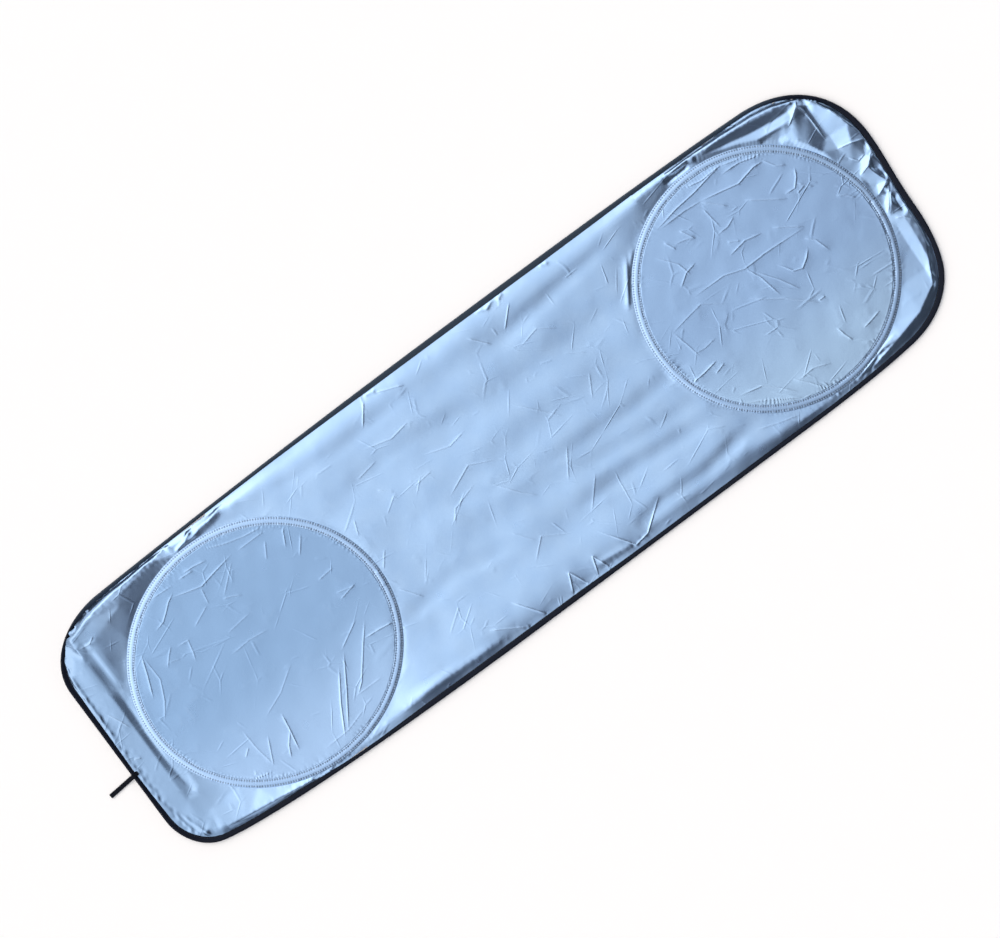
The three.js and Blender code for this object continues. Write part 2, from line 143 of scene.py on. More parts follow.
outline = edge_loop(OUTLINE_PITCH)
sparse_outline = outline[::4]  # enough points to measure distances from
print("edge length", round(len(outline) * OUTLINE_PITCH), "mm")


def oval(node):
    """The centre and the half axes of a hoop's band, in millimetres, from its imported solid."""
    low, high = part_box(node)
    middle = (low + high) / 2
    half = (high - low) / 2
    x = (middle.x - centre.x) / MM
    y = (middle.y - centre.y) / MM
    return x, y, half.x / MM - BAND / 2, half.y / MM - BAND / 2


OVALS = {side: oval(f"{side}_ring_channel") for side in SIDES}
print("hoops", {side: [round(v, 1) for v in values] for side, values in OVALS.items()})

# %% [markdown]
# ## How the cloth stands up
#
# The cloth is sewn down along the tape and along both hoops, and slack between them.
# So its height is worked out for every point of a fine grid: a pillow in each margin,
# a slight dome in each hoop, soft waves in the middle, and then the folds and creases.
# A fold is a line of points with a height and a width on each side, so one side can be
# steep and the other gentle, as real folds are. The points are listed.

# %% Distances on the panel


def smooth(value, low, high):
    t = np.clip((value - low) / (high - low), 0, 1)
    return t * t * (3 - 2 * t)


def to_line(x, y, line, closed=False):
    """Distances to a line, above zero on its left, and the share of the line passed."""
    line = np.asarray(line, float)
    ends = np.roll(line, -1, axis=0) if closed else line[1:]
    starts = line if closed else line[:-1]
    best = np.full(x.shape, np.inf)
    signed = np.zeros(x.shape)
    share = np.zeros(x.shape)
    for i, (a, b) in enumerate(zip(starts, ends)):
        span = b - a
        t = ((x - a[0]) * span[0] + (y - a[1]) * span[1]) / (span @ span)
        t = np.clip(t, 0, 1)
        dx = x - a[0] - t * span[0]
        dy = y - a[1] - t * span[1]
        distance = np.hypot(dx, dy)
        near = distance < best
        best = np.where(near, distance, best)
        signed = np.where(near, np.sign(span[0] * dy - span[1] * dx) * distance, signed)
        share = np.where(near, (i + t) / len(starts), share)
    return signed, share


def to_oval(x, y, ring):
    """The distance outside a hoop's centre line, below zero inside it."""
    cx, cy, a, b = ring
    angle = np.arctan2((y - cy) / b, (x - cx) / a)
    return np.hypot(x - cx, y - cy) - np.hypot(a * np.cos(angle), b * np.sin(angle))


def in_box(x, y, line, reach):
    """True inside the box round a line. It saves measuring the points far from it."""
    low, high = line.min(axis=0) - reach, line.max(axis=0) + reach
    return (x > low[0]) & (x < high[0]) & (y > low[1]) & (y < high[1])


# %% [markdown]
# The folds and creases are listed where they lie on the real shade. Folds are wide and keep
# their own sharpness. Creases are short, and all of them get the same kind of cross-section.

# %% Folds and creases
# Each row: height, width on the left side of the line, width on its right side, sharpness
# from 0 to 1, and the points of the line. All in millimetres.
FOLDS = [
    # beside the left tape, where the cloth is gathered by its stitches
    (1.5, 5, 6, 0.6, [(-735, 150), (-737, 90), (-738, 20)]),
    (1.2, 4, 5, 0.9, [(-725, -130), (-716, -160), (-707, -184)]),
    (1.0, 4, 5, 0.9, [(-732, -120), (-728, -150), (-718, -180)]),
    # the flap over the left hoop's top
    (3.0, 5, 14, 0.9, [(-493, 197), (-470, 203), (-452, 214)]),
    (2.6, 6, 10, 0.9, [(-470, 196), (-440, 206), (-420, 207), (-395, 214)]),
    # the top right
    (2.6, 7, 7, 0.9, [(455, 211), (500, 214), (512, 205)]),
    (-2.4, 10, 6, 0.7, [(450, 203), (480, 202), (498, 203)]),
    # soft folds along the shade, between the hoops
    (-1.0, 26, 17, 0, [(30, -28), (120, -42), (220, -46), (320, -34)]),
    (-0.9, 20, 18, 0, [(70, -72), (190, -86), (300, -94)]),
    (-1.1, 24, 17, 0, [(40, -118), (160, -120), (310, -134)]),
    (-2.0, 22, 15, 0, [(100, -196), (160, -188), (240, -192), (345, -176)]),
    (-1.2, 22, 18, 0, [(90, 158), (200, 170), (345, 186)]),
    (-0.9, 26, 18, 0, [(-320, 188), (-200, 174), (-40, 184)]),
    (-0.8, 26, 20, 0, [(-250, 112), (-120, 122), (20, 106)]),
    (-0.7, 22, 18, 0, [(-110, 10), (-50, -16), (30, -20)]),
    (-0.8, 24, 18, 0, [(-280, -100), (-170, -86), (-50, -106)]),
    # beside the lower and the upper tape
    (1.8, 14, 14, 0.2, [(-345, -202), (-260, -206), (-160, -210)]),
    (1.1, 9, 9, 0.3, [(14, -204), (50, -207), (80, -212)]),
    (1.4, 5, 5, 0.9, [(98, 221), (116, 213), (132, 220)]),
    (1.3, 5, 5, 0.9, [(138, 213), (150, 221)]),
    (1.2, 5, 6, 0.9, [(216, 222), (236, 213)]),
    (1.2, 5, 5, 0.9, [(-116, 221), (-96, 214)]),
    # outside the right hoop
    (2.0, 7, 9, 0.7, [(352, 152), (325, 112), (300, 74)]),
    (1.4, 6, 8, 0.7, [(338, 150), (312, 112), (290, 80)]),
]

# Each row: height, widths on the left and the right side of the line, and its points.
CREASES = [
    # the two ends
    (2.6, 4, 4, [(700, 34), (718, 39), (735, 54)]),
    (2.4, 4, 4, [(696, 88), (718, 83), (738, 76)]),
    (2.4, 4, 4, [(706, -6), (718, -1), (729, 4)]),
    (2.0, 4, 4, [(727, -2), (715, -20), (700, -38)]),
    (2.0, 5, 5, [(657, 161), (668, 168), (683, 179)]),
    (2.0, 5, 5, [(684, 179), (690, 160), (691, 112)]),
    (1.6, 4, 4, [(719, 150), (733, 112)]),
    (1.6, 4, 4, [(702, 66), (712, 54), (726, 57)]),
    (1.4, 4, 4, [(704, -50), (716, -56), (727, -70)]),
    (1.2, 4, 4, [(-697, 166), (-680, 163), (-668, 170)]),
    (1.2, 4, 4, [(-733, -20), (-722, -24)]),
    (1.0, 4, 4, [(-724, 60), (-714, 40), (-708, 24)]),
    # inside the left hoop
    (1.2, 4, 7, [(-500, 165), (-482, 164), (-460, 160)]),
    (1.0, 5, 6, [(-511, 161), (-486, 160)]),
    (1.3, 8, 5, [(-535, 145), (-512, 138), (-490, 132), (-460, 138), (-424, 144)]),
    (0.8, 5, 5, [(-412, 143), (-363, 143)]),
    (1.0, 5, 6, [(-450, 175), (-425, 164), (-392, 155), (-355, 150)]),
    (1.2, 5, 7, [(-586, 119), (-570, 123), (-558, 132), (-545, 143), (-532, 150)]),
    (0.8, 5, 5, [(-585, 158), (-560, 162), (-525, 160)]),
    (0.7, 5, 5, [(-492, 130), (-497, 104)]),
    (1.3, 5, 5, [(-627, 103), (-638, 72), (-652, 38)]),
    (0.9, 5, 6, [(-627, 100), (-626, 55), (-640, 25), (-658, 0)]),
    (0.8, 4, 5, [(-606, 62), (-594, 76), (-583, 86)]),
    (0.8, 5, 4, [(-575, 80), (-556, 78), (-560, 60), (-565, 45)]),
    (0.5, 4, 4, [(-600, 68), (-583, 62)]),
    (0.5, 6, 6, [(-500, 50), (-455, 55)]),
    (0.6, 5, 6, [(-515, 20), (-480, 22), (-447, 18)]),
    (0.9, 5, 6, [(-340, 80), (-320, 105)]),
    (0.9, 5, 5, [(-350, 103), (-336, 130)]),
    (0.7, 5, 5, [(-370, 130), (-385, 105)]),
    (0.8, 6, 5, [(-475, 97), (-462, 92), (-447, 84)]),
    (0.6, 5, 5, [(-500, 104), (-535, 88)]),
    (0.6, 6, 6, [(-430, 135), (-470, 100)]),
    (0.7, 5, 5, [(-340, 32), (-310, 35)]),
    (0.8, 4, 5, [(-330, -12), (-297, -5)]),
    (0.7, 5, 4, [(-330, 0), (-300, -8)]),
    (1.4, 5, 6, [(-335, -82), (-310, -84), (-283, -88)]),
    (1.4, 5, 5, [(-450, -185), (-425, -140), (-395, -95)]),
    (1.2, 5, 5, [(-440, -180), (-405, -128), (-375, -80)]),
    (1.0, 5, 6, [(-395, -145), (-380, -133), (-342, -86), (-320, -60)]),
    (0.8, 5, 5, [(-375, -75), (-330, -50)]),
    (1.2, 4, 6, [(-508, -98), (-512, -125), (-519, -160)]),
    (1.0, 5, 4, [(-536, -162), (-528, -145), (-512, -126)]),
    (0.8, 5, 5, [(-565, -155), (-556, -136), (-545, -113)]),
    (0.7, 5, 5, [(-572, -85), (-570, -120), (-564, -155)]),
    (0.8, 5, 5, [(-600, -155), (-575, -161)]),
    (0.8, 5, 5, [(-592, -120), (-580, -110)]),
    (0.5, 4, 4, [(-400, -145), (-350, -145)]),
    (0.5, 5, 5, [(-530, -88), (-490, -72), (-450, -45)]),
    (0.5, 5, 5, [(-485, -182), (-440, -180), (-400, -168)]),
    # between the hoops
    (0.81, 5, 7, [(-165, 152), (-120, 140), (-83, 146)]),
    (0.74, 5, 6, [(-95, 90), (-55, 77), (-23, 83)]),
    (0.56, 5, 5, [(-135, 60), (-100, 64)]),
    (0.74, 6, 5, [(-100, 15), (-50, 37), (-10, 18)]),
    (0.62, 5, 5, [(-120, -25), (-105, -5), (-60, 8)]),
    (0.74, 5, 5, [(-40, -5), (-10, -45), (10, -65)]),
    (0.62, 5, 5, [(-55, -145), (-25, -118), (15, -142)]),
    (0.56, 5, 5, [(-60, -85), (-35, -118)]),
    (0.68, 5, 5, [(60, 72), (112, 12)]),
    (0.62, 5, 5, [(60, -75), (90, -30)]),
    (0.56, 5, 5, [(60, -135), (100, -90)]),
    (0.5, 5, 5, [(165, 5), (185, 40)]),
    (1.2, 6, 6, [(65, 195), (90, 165)]),
    (1.2, 6, 6, [(120, 170), (150, 200)]),
    (1.2, 6, 6, [(-145, 180), (-120, 212)]),
    (1.2, 6, 6, [(-100, 212), (-55, 195)]),
    (0.56, 5, 5, [(-200, 120), (-160, 127)]),
    (0.56, 5, 5, [(-185, 90), (-165, 72)]),
    (0.5, 5, 5, [(-165, 70), (-195, 50)]),
    (0.5, 5, 5, [(170, 88), (200, 68)]),
    (0.68, 5, 6, [(125, 135), (160, 143), (185, 125)]),
    (1.8, 6, 8, [(-175, -187), (-150, -202), (-120, -220)]),
    (1.8, 6, 6, [(-122, -172), (-88, -220)]),
    (2.0, 7, 6, [(50, -165), (85, -216), (110, -212), (155, -178)]),
    (1.4, 5, 5, [(-38, -220), (-24, -188), (-10, -220)]),
    (1.4, 5, 5, [(10, -220), (20, -190), (32, -220)]),
    (0.62, 6, 6, [(-250, 50), (-240, 75)]),
    (0.62, 6, 6, [(-250, -15), (-230, 10)]),
    (0.74, 6, 6, [(-250, -50), (-225, -85)]),
    # inside the right hoop
    (1.2, 6, 5, [(400, 154), (440, 162), (480, 166), (512, 172), (534, 175)]),
    (1.3, 5, 8, [(475, 179), (500, 174), (540, 176)]),
    (1.1, 6, 5, [(536, 175), (560, 168), (584, 166)]),
    (0.8, 6, 6, [(405, 152), (450, 152), (480, 149)]),
    (1.3, 8, 5, [(480, 149), (515, 142), (542, 136), (575, 143), (592, 142)]),
    (1.2, 6, 6, [(530, 163), (560, 162), (585, 155), (606, 154)]),
    (1.0, 5, 5, [(478, 148), (495, 132), (509, 118)]),
    (0.7, 5, 5, [(475, 138), (480, 100)]),
    (0.9, 5, 5, [(592, 145), (604, 125), (618, 116)]),
    (1.2, 6, 5, [(534, 110), (560, 92), (588, 73)]),
    (1.1, 5, 6, [(590, 80), (608, 79), (620, 92), (626, 104)]),
    (0.7, 5, 5, [(606, 70), (622, 74)]),
    (0.7, 4, 4, [(616, 82), (632, 64)]),
    (0.9, 5, 5, [(372, 120), (394, 92), (400, 68)]),
    (0.9, 5, 5, [(376, 60), (396, 74), (416, 78)]),
    (0.8, 5, 5, [(396, 132), (405, 112)]),
    (0.7, 5, 5, [(408, 120), (430, 114), (440, 108)]),
    (0.9, 5, 5, [(426, 132), (438, 110)]),
    (0.7, 6, 5, [(470, 92), (490, 93), (506, 100)]),
    (0.7, 5, 5, [(474, 74), (492, 64)]),
    (1.0, 6, 5, [(466, 55), (498, 60), (525, 54)]),
    (1.0, 6, 5, [(544, 50), (562, 38), (584, 23)]),
    (0.9, 6, 5, [(385, 37), (440, 36), (472, 25), (510, 26), (582, 22)]),
    (0.9, 5, 5, [(474, 22), (484, 0), (492, -40)]),
    (0.9, 5, 5, [(482, 12), (505, -20), (522, -50)]),
    (1.2, 6, 5, [(450, -16), (470, -32), (494, -48), (515, -68), (532, -84)]),
    (1.2, 5, 5, [(516, 0), (530, -22), (544, -27), (558, -18), (568, -8)]),
    (0.8, 5, 5, [(534, -82), (546, -82)]),
    (0.8, 5, 5, [(574, 8), (586, -4), (594, -30)]),
    (0.6, 5, 5, [(325, 12), (352, 17), (385, 22), (400, 12), (420, -4)]),
    (0.7, 5, 5, [(325, 10), (331, -15), (336, -40)]),
    (0.5, 5, 5, [(334, -34), (350, -36), (372, -33)]),
    (1.4, 5, 6, [(304, -68), (328, -66), (352, -62)]),
    (0.8, 5, 5, [(340, -78), (360, -72)]),
    (1.1, 5, 6, [(350, -127), (385, -135), (404, -152), (424, -175)]),
    (0.9, 5, 5, [(330, -130), (380, -158), (430, -190)]),
    (0.8, 5, 5, [(430, -155), (448, -175), (462, -196)]),
    (0.8, 5, 4, [(652, 32), (664, 24), (675, 11)]),
    (0.8, 5, 5, [(565, -157), (582, -154), (600, -150)]),
    (0.9, 4, 4, [(532, -132), (535, -148), (540, -162)]),
    (0.6, 5, 5, [(438, -162), (465, -160), (492, -170)]),
    (0.6, 5, 5, [(340, -185), (372, -196), (405, -205)]),
]

# %% [markdown]
# A fold's cross-section is a tent. It is rounded like a bell when the cloth is slack, and
# keeps a sharp ridge when the cloth was pressed flat along it.

# %% The shape of one fold
RIDGE_POWER = 1.15
END_RISE = 5.0  # a fold reaches its full height over about a fifth of its line
END_HEIGHT = 0.1


def tent(distance, left, right, sharp):
    """The cross-section of a fold, from a soft bell at sharp 0 to a ridge at sharp 1."""
    away = np.clip(np.abs(distance) / np.where(distance > 0, left, right), 0, 1)
    bell = (1 - away) ** 2 * (1 + 2 * away)
    ridge = (1 - away) ** RIDGE_POWER
    return bell * (1 - sharp) + ridge * sharp


def add_fold(lift, x, y, height, left, right, sharp, line):
    """Raises the points near one line, less towards the line's two ends."""
    line = np.array(line, float)
    near = in_box(x, y, line, max(left, right))
    signed, share = to_line(x[near], y[near], line)
    ends = np.clip(END_RISE * np.minimum(share, 1 - share) + END_HEIGHT, 0, 1)
    lift[near] += height * ends * tent(signed, left, right, sharp)


# %% [markdown]
# Besides the creases that one can point at, such cloth has many faint short ones from years
# of being twisted up. These are drawn by a random generator with a fixed seed, so that they
# fall in the same places each time. They keep off the tape and off the hoops' seams.

# %% Faint creases
FAINT_CREASES = 170
FAINT_SEED = 7
FAINT_CORNER = np.array([720, 205])
FAINT_LENGTHS = (10, 34)
FAINT_HEIGHTS = (0.2, 0.49)
FAINT_WIDTH = 4
CLEAR_OF_HOOPS = 16
CLEAR_OF_TAPE = 212


def faint_creases():
    random = np.random.default_rng(FAINT_SEED)
    rows = []
    while len(rows) < FAINT_CREASES:
        start = random.uniform(-FAINT_CORNER, FAINT_CORNER)
        turn = random.uniform(0, math.pi)
        length = random.uniform(*FAINT_LENGTHS)
        bend = random.uniform(-0.5, 0.5)
        middle = start + length / 2 * np.array([math.cos(turn), math.sin(turn)])
        end = middle + length / 2 * np.array([math.cos(turn + bend), math.sin(turn + bend)])
        ends = np.array([start, middle, end])
        clear = min(np.abs(to_oval(*ends.T, ring)).min() for ring in OVALS.values())
        if clear > CLEAR_OF_HOOPS and np.abs(ends[:, 1]).max() < CLEAR_OF_TAPE:
            height = random.uniform(*FAINT_HEIGHTS)
            rows.append((height, FAINT_WIDTH, FAINT_WIDTH, [tuple(point) for point in ends]))
    return rows


ALL_CREASES = CREASES + faint_creases()
print("creases", len(ALL_CREASES), "folds", len(FOLDS))

# %% [markdown]
# The slack in the margins makes one long roll between the tape and the hoops. Here is where
# its crest lies, as a share of the way from the tape to the hoop, and how high it stands,
# for a few places along the tape. At the left end the crest is near the hoop, and at the
# corners it is near the tape, so the cloth there falls away slowly to the hoop.

# %% The roll in the margins
# Each row: a place on the tape, the crest's share of the way to the hoop, and its height.
CRESTS = [
    ((-750, -120), 0.40, 5), ((-750, -90), 0.65, 6), ((-750, 0), 0.72, 7.5),
    ((-750, 110), 0.72, 8.5), ((-742, 155), 0.55, 11), ((-720, 188), 0.20, 13),
    ((-680, 208), 0.12, 13.5), ((-620, 219), 0.13, 12), ((-540, 221), 0.15, 9.5),
    ((-470, 223), 0.30, 6.5), ((-400, 225), 0.30, 5.5), ((-330, 227), 0.30, 3.5),
    ((0, 230), 0.30, 2), ((330, 229), 0.30, 3.5), ((430, 228), 0.20, 6), ((500, 226), 0.20, 8),
    ((560, 224), 0.14, 11), ((620, 220), 0.12, 12), ((683, 201), 0.14, 12),
    ((720, 170), 0.28, 11), ((745, 110), 0.30, 9.5), ((750, 70), 0.35, 6.5), ((742, 0), 0.50, 6),
    ((740, -60), 0.35, 6), ((733, -120), 0.20, 6), ((715, -165), 0.14, 6.5),
    ((668, -207), 0.15, 7), ((610, -222), 0.22, 7), ((550, -227), 0.35, 7),
    ((480, -230), 0.40, 4.5), ((400, -230), 0.30, 4), ((0, -230), 0.25, 2),
    ((-300, -229), 0.25, 5), ((-420, -225), 0.40, 4.5), ((-500, -221), 0.40, 4.5),
    ((-560, -218), 0.35, 7), ((-640, -211), 0.18, 7.5), ((-700, -200), 0.14, 7),
    ((-740, -160), 0.22, 6),
]


def along_tape(rows, share):
    """Values listed for places along the tape, blended at shares of the way round it."""
    at = [np.argmin(np.hypot(*(outline - row[0]).T)) / len(outline) for row in rows]
    order = np.argsort(at)
    at = np.array(at)[order]
    columns = np.array([row[1:] for row in rows], float)[order].T
    return [np.interp(share, at, column, period=1) for column in columns]


print("places along the tape", len(CRESTS))

# %% [markdown]
# At the two ends the slack cloth is crumpled: flat facets meet in sharp edges, as in folded
# paper. Those edges are given as lines of points with heights, and a triangulation joins
# them to each other and to the seams. Averaging over a few millimetres rounds the edges.

# %% Crumpled ends
# Each line is an edge of the crumpled cloth: x, y and height over the flat level.
LEFT_EDGES = [
    [(-702, 186, 13), (-702, 150, 9.4), (-702, 90, 4.8), (-703, 20, 2.5), (-703, -60, 2.3),
     (-704, -120, 2.3), (-708, -170, 3.0)],
    [(-728, 165, 5), (-734, 140, 2.6), (-735, 90, 0.8), (-736, 0, 0.1), (-735, -90, 0.1),
     (-728, -140, 0.4), (-720, -170, 1.0)],
    [(-716, 160, 7.6), (-716, 95, 3.4), (-718, 20, 1.4)],
    [(-688, 170, 10.2), (-688, 120, 4.2), (-690, 60, 0.4), (-693.5, 0, -0.5), (-693, -60, -0.5),
     (-689, -110, 0.0)],
    [(-680, 162, 11.4), (-679, 120, 6.6), (-682, 80, 2.2)],
    [(-702, 186, 13), (-672, 194, 15), (-640, 201, 14), (-600, 207, 12), (-540, 212, 8.5),
     (-497, 214, 5)],
    [(-690, 186, 12.8), (-650, 191, 13), (-600, 197, 11.2), (-555, 203, 8), (-520, 206, 5.4)],
    [(-700, 196, 8), (-660, 203, 9), (-610, 209, 8.5)],
    [(-668, 164, 11), (-640, 174, 10.4), (-610, 183, 8.8), (-570, 193, 6.6)],
    [(-680, -112, 2.2), (-682, -150, 2.8), (-690, -178, 4.2)],
    [(-702, -172, 4.2), (-684, -186, 6.4), (-640, -193, 7), (-590, -200, 6.4),
     (-540, -208, 4.6), (-500, -214, 2.6)],
    [(-716, -140, 1.6), (-711, -176, 3.6)],
]
RIGHT_EDGES = [
    [(508, 214, 5), (560, 211, 8), (612, 206, 9.6), (652, 199, 9.6), (690, 186, 9.4),
     (708, 172, 8.6), (722, 142, 8), (731, 112, 6.8)],
    [(540, 209, 7.6), (600, 203, 9), (650, 194, 9)],
    [(520, 205, 3.8), (560, 197, 2.2), (600, 188, 2.0), (640, 182, 2.6), (668, 180, 4.8)],
    [(552, 194, 2.8), (580, 185, 3.8), (606, 173, 5), (650, 167, 6.6), (668, 165, 6.8)],
    [(612, 165, 1.6), (632, 154, 1.6), (646, 153, 4.4)],
    [(668, 165, 6.8), (684, 179, 9.4), (689, 160, 3.8), (690, 112, 1.4)],
    [(644, 144, 4.8), (654, 133, 6.6), (665, 117, 6.6), (675, 98, 4)],
    [(684, 179, 9.4), (697, 172, 3.6), (697, 150, 2.0), (699, 112, 0.9), (697, 88, 3.2)],
    [(697, 88, 3.2), (718, 83, 6.6), (739, 75, 4.8)],
    [(718, 83, 6.6), (729, 110, 6)],
    [(702, 64, 0.6), (713, 53, 0.2), (726, 56, 1.8)],
    [(700, 33, 2), (718, 38, 5), (730, 48, 4.6), (736, 48, 3.2)],
    [(718, 38, 5), (722, 20, 4.4), (728, 5, 3.8)],
    [(724, 31, 1.2), (729, 28, 1.0), (731, 12, 1.0)],
    [(704, 16, 0.6), (712, 8, 0.8)],
    [(706, -6, 1.4), (718, -1, 4.4), (728, 5, 3.8)],
    [(728, -3, 1.0), (722, -14, 4.2), (714, -27, 4.8), (700, -42, 1.6)],
    [(710, -10, 0.6), (717, -12, 0.8)],
    [(722, -26, 0.8), (721, -48, 1.4)],
    [(706, -20, 0.8), (700, -8, 1)],
    [(716, -56, 3.6), (714, -90, 4.2), (708, -130, 4.6), (690, -166, 4.8), (650, -188, 5.2),
     (600, -201, 5), (560, -209, 4)],
    [(737, 100, 5), (739, 88, 4.2), (739, 75, 4.8), (738, 60, 5.6), (736, 48, 3.2),
     (737, 35, 3), (735, 20, 1.4), (735, 6, 3.4), (732, -6, 1.8), (731, -20, 3.8),
     (729, -36, 2), (728, -52, 3.6), (727, -70, 3), (725, -90, 3.6), (720, -112, 3.4)],
    [(699, -62, 1.2), (696, -100, 1), (694, -140, 2.2)],
    [(512, -214, 2), (540, -206, 5), (560, -200, 4), (598, -192, 3)],
    [(522, -222, 0.6), (534, -214, 0.8), (560, -206, 1.6)],
]
print("edges of crumpled cloth", len(LEFT_EDGES), len(RIGHT_EDGES))

# %% [markdown]
# The heights of the seams are needed next, because the crumpled cloth is held there. The
# wire stretches the sheet inside a hoop like a drum, a little higher than the rest.

# %% Levels of the cloth
TAPE_WIDTH = 9.0
SHEET_LEVEL = 1.2
BAND_LEVEL = 2.3  # beside a hoop's band
DRUM_LEVEL = 4.35  # inside a hoop
WIRE_LEVEL = 2.15  # under a hoop's wire
HOOP_RISE = BAND_LEVEL - SHEET_LEVEL
print("levels in mm", SHEET_LEVEL, BAND_LEVEL, DRUM_LEVEL, WIRE_LEVEL)

# %% Nets of crumpled cloth
NET_STARTS = {-1: -480.0, 1: 495.0}  # where the left and the right net begin
NET_FADE = 28.0
SEAM_FROM = 380  # the net is sewn to the tape beyond this
SEAM_STEP = 9  # points of the outline from one seam point to the next
BAND_STEP = 8  # and degrees round the hoop
PAST_HOOP = -80  # and to the band's points beyond this, from the hoop's middle
AT_TAPE = -0.3  # the cloth's height where it goes under the tape
AT_LEFT_TAPE = 0.9
LEFT_TAPE_FROM = -170
EDGE_ROUNDING = 1.3
NO_AREA = 1e-6


def seam_points(side):
    """Points on the tape's inner edge and on the band's outer edge, with their heights."""
    cx, cy, a, b = OVALS["left" if side < 0 else "right"]
    loop = outline + TAPE_WIDTH * inward(outline)
    tape = loop[::SEAM_STEP].round(3)
    turn = np.radians(np.arange(0, 360, BAND_STEP))
    reach = BAND / 2
    band = np.c_[cx + (a + reach) * np.cos(turn), cy + (b + reach) * np.sin(turn)]
    rows = []
    for x, y in tape[tape[:, 0] * side > SEAM_FROM]:
        rows.append((x, y, AT_LEFT_TAPE if side < 0 and y > LEFT_TAPE_FROM else AT_TAPE))
    return rows + [(*point, HOOP_RISE) for point in band if (point[0] - cx) * side > PAST_HOOP]


def make_net(side):
    """The crumpled cloth of one end as triangles, each with its three corners' heights."""
    lines = LEFT_EDGES if side < 0 else RIGHT_EDGES
    points = seam_points(side)
    joined = []
    for line in lines:
        ids = []
        for point in line:
            if point not in points:
                points.append(point)
            ids.append(points.index(point))
        joined += list(zip(ids[:-1], ids[1:]))
    flat = [Vector(point[:2]) for point in points]
    corners, _, faces, sources, _, _ = geometry.delaunay_2d_cdt(flat, joined, [], 0, 0.01)
    height = [points[source[0]][2] if source else 0.0 for source in sources]
    return [[(*corners[i], height[i]) for i in face] for face in faces]


def net_height(net, x, y):
    """The height of the crumpled cloth, with its edges rounded."""
    total = np.zeros(x.shape)
    shifts = [(0, 0)] + [
        (EDGE_ROUNDING * math.cos(turn), EDGE_ROUNDING * math.sin(turn))
        for turn in np.arange(0, 2 * math.pi, math.pi / 3)
    ]
    for dx, dy in shifts:
        px, py = x + dx, y + dy
        for (ax, ay, az), (bx, by, bz), (cx, cy, cz) in net:
            box = (px >= min(ax, bx, cx)) & (px <= max(ax, bx, cx))
            box &= (py >= min(ay, by, cy)) & (py <= max(ay, by, cy))
            area = (bx - ax) * (cy - ay) - (cx - ax) * (by - ay)
            if not box.any() or abs(area) < NO_AREA:
                continue
            qx, qy = px[box], py[box]
            v = ((qx - ax) * (cy - ay) - (cx - ax) * (qy - ay)) / area
            w = ((bx - ax) * (qy - ay) - (qx - ax) * (by - ay)) / area
            within = (v >= 0) & (w >= 0) & (v + w < 1)
            found = np.flatnonzero(box)[within]
            total[found] += (az + v * (bz - az) + w * (cz - az))[within]
    return total / len(shifts)


# %% [markdown]
# ## Adding the heights up
#
# Every point of the sheet asks how far it is from the tape and from the nearest hoop, and
# where along the tape it is. All the other shapes depend on that.

# %% Where a point lies between the seams
SLEEVE_BELOW = 14.5  # the joining tube lies this far below the hoop's right-hand point


def ripple(x, y, seed, count, wavelength):
    """Uneven cloth: a few plane waves of about one wavelength, in seeded directions."""
    random = np.random.default_rng(seed)
    total = np.zeros(x.shape)
    for _ in range(count):
        turn, phase = random.uniform(0, 2 * math.pi, 2)
        pace = 2 * math.pi / (wavelength * random.uniform(0.7, 1.4))
        total += np.sin((x * math.cos(turn) + y * math.sin(turn)) * pace + phase)
    return total / math.sqrt(count)


def from_seams(x, y):
    """Distances from the tape, the nearest band and its hoop, and the place along the tape."""
    signed, share = to_line(x, y, sparse_outline, closed=True)
    rings = np.array([to_oval(x, y, ring) for ring in OVALS.values()])
    to_ring = np.where(np.abs(rings[0]) < np.abs(rings[1]), rings[0], rings[1])
    from_band = np.maximum(np.abs(to_ring) - BAND / 2, 0)
    return np.maximum(np.abs(signed) - TAPE_WIDTH, 0), from_band, to_ring, share


def near_sleeve(x, y, ring):
    """1 at the tube that joins the hoop's two ends, at its right-hand side, fading to 0."""
    cx, cy, a, _ = ring
    return 1 - smooth(np.hypot(x - (cx + a), y - (cy - SLEEVE_BELOW)), 9, 15)


# %% [markdown]
# Where the gap between tape and hoop is narrow, the roll spans it. Where it is wide, the
# cloth lies flat past the roll and rises again beside the hoop. Near the two ends the nets
# take over. In the wide middle there are soft waves along the shade instead.

# %% The roll and the waves
ROLL_FOOT = 90.0
ROLL_CREST = 30.0
ROLL_NEEDS = 40  # a gap narrower than this has a lower roll
STRAIGHT, ROUNDED = 0.85, 0.15  # the shares of the two shapes that its far side is made of
WIDE_GAPS = (90, 160)
HOOP_FOOT = 60
WAVE_HEIGHT = 0.6
WAVE_LENGTH = 76
WAVE_GAPS = (60, 130)
UNEVEN_DRUM, UNEVEN_MARGIN, UNEVEN_FINE = 0.1, 0.22, 0.06


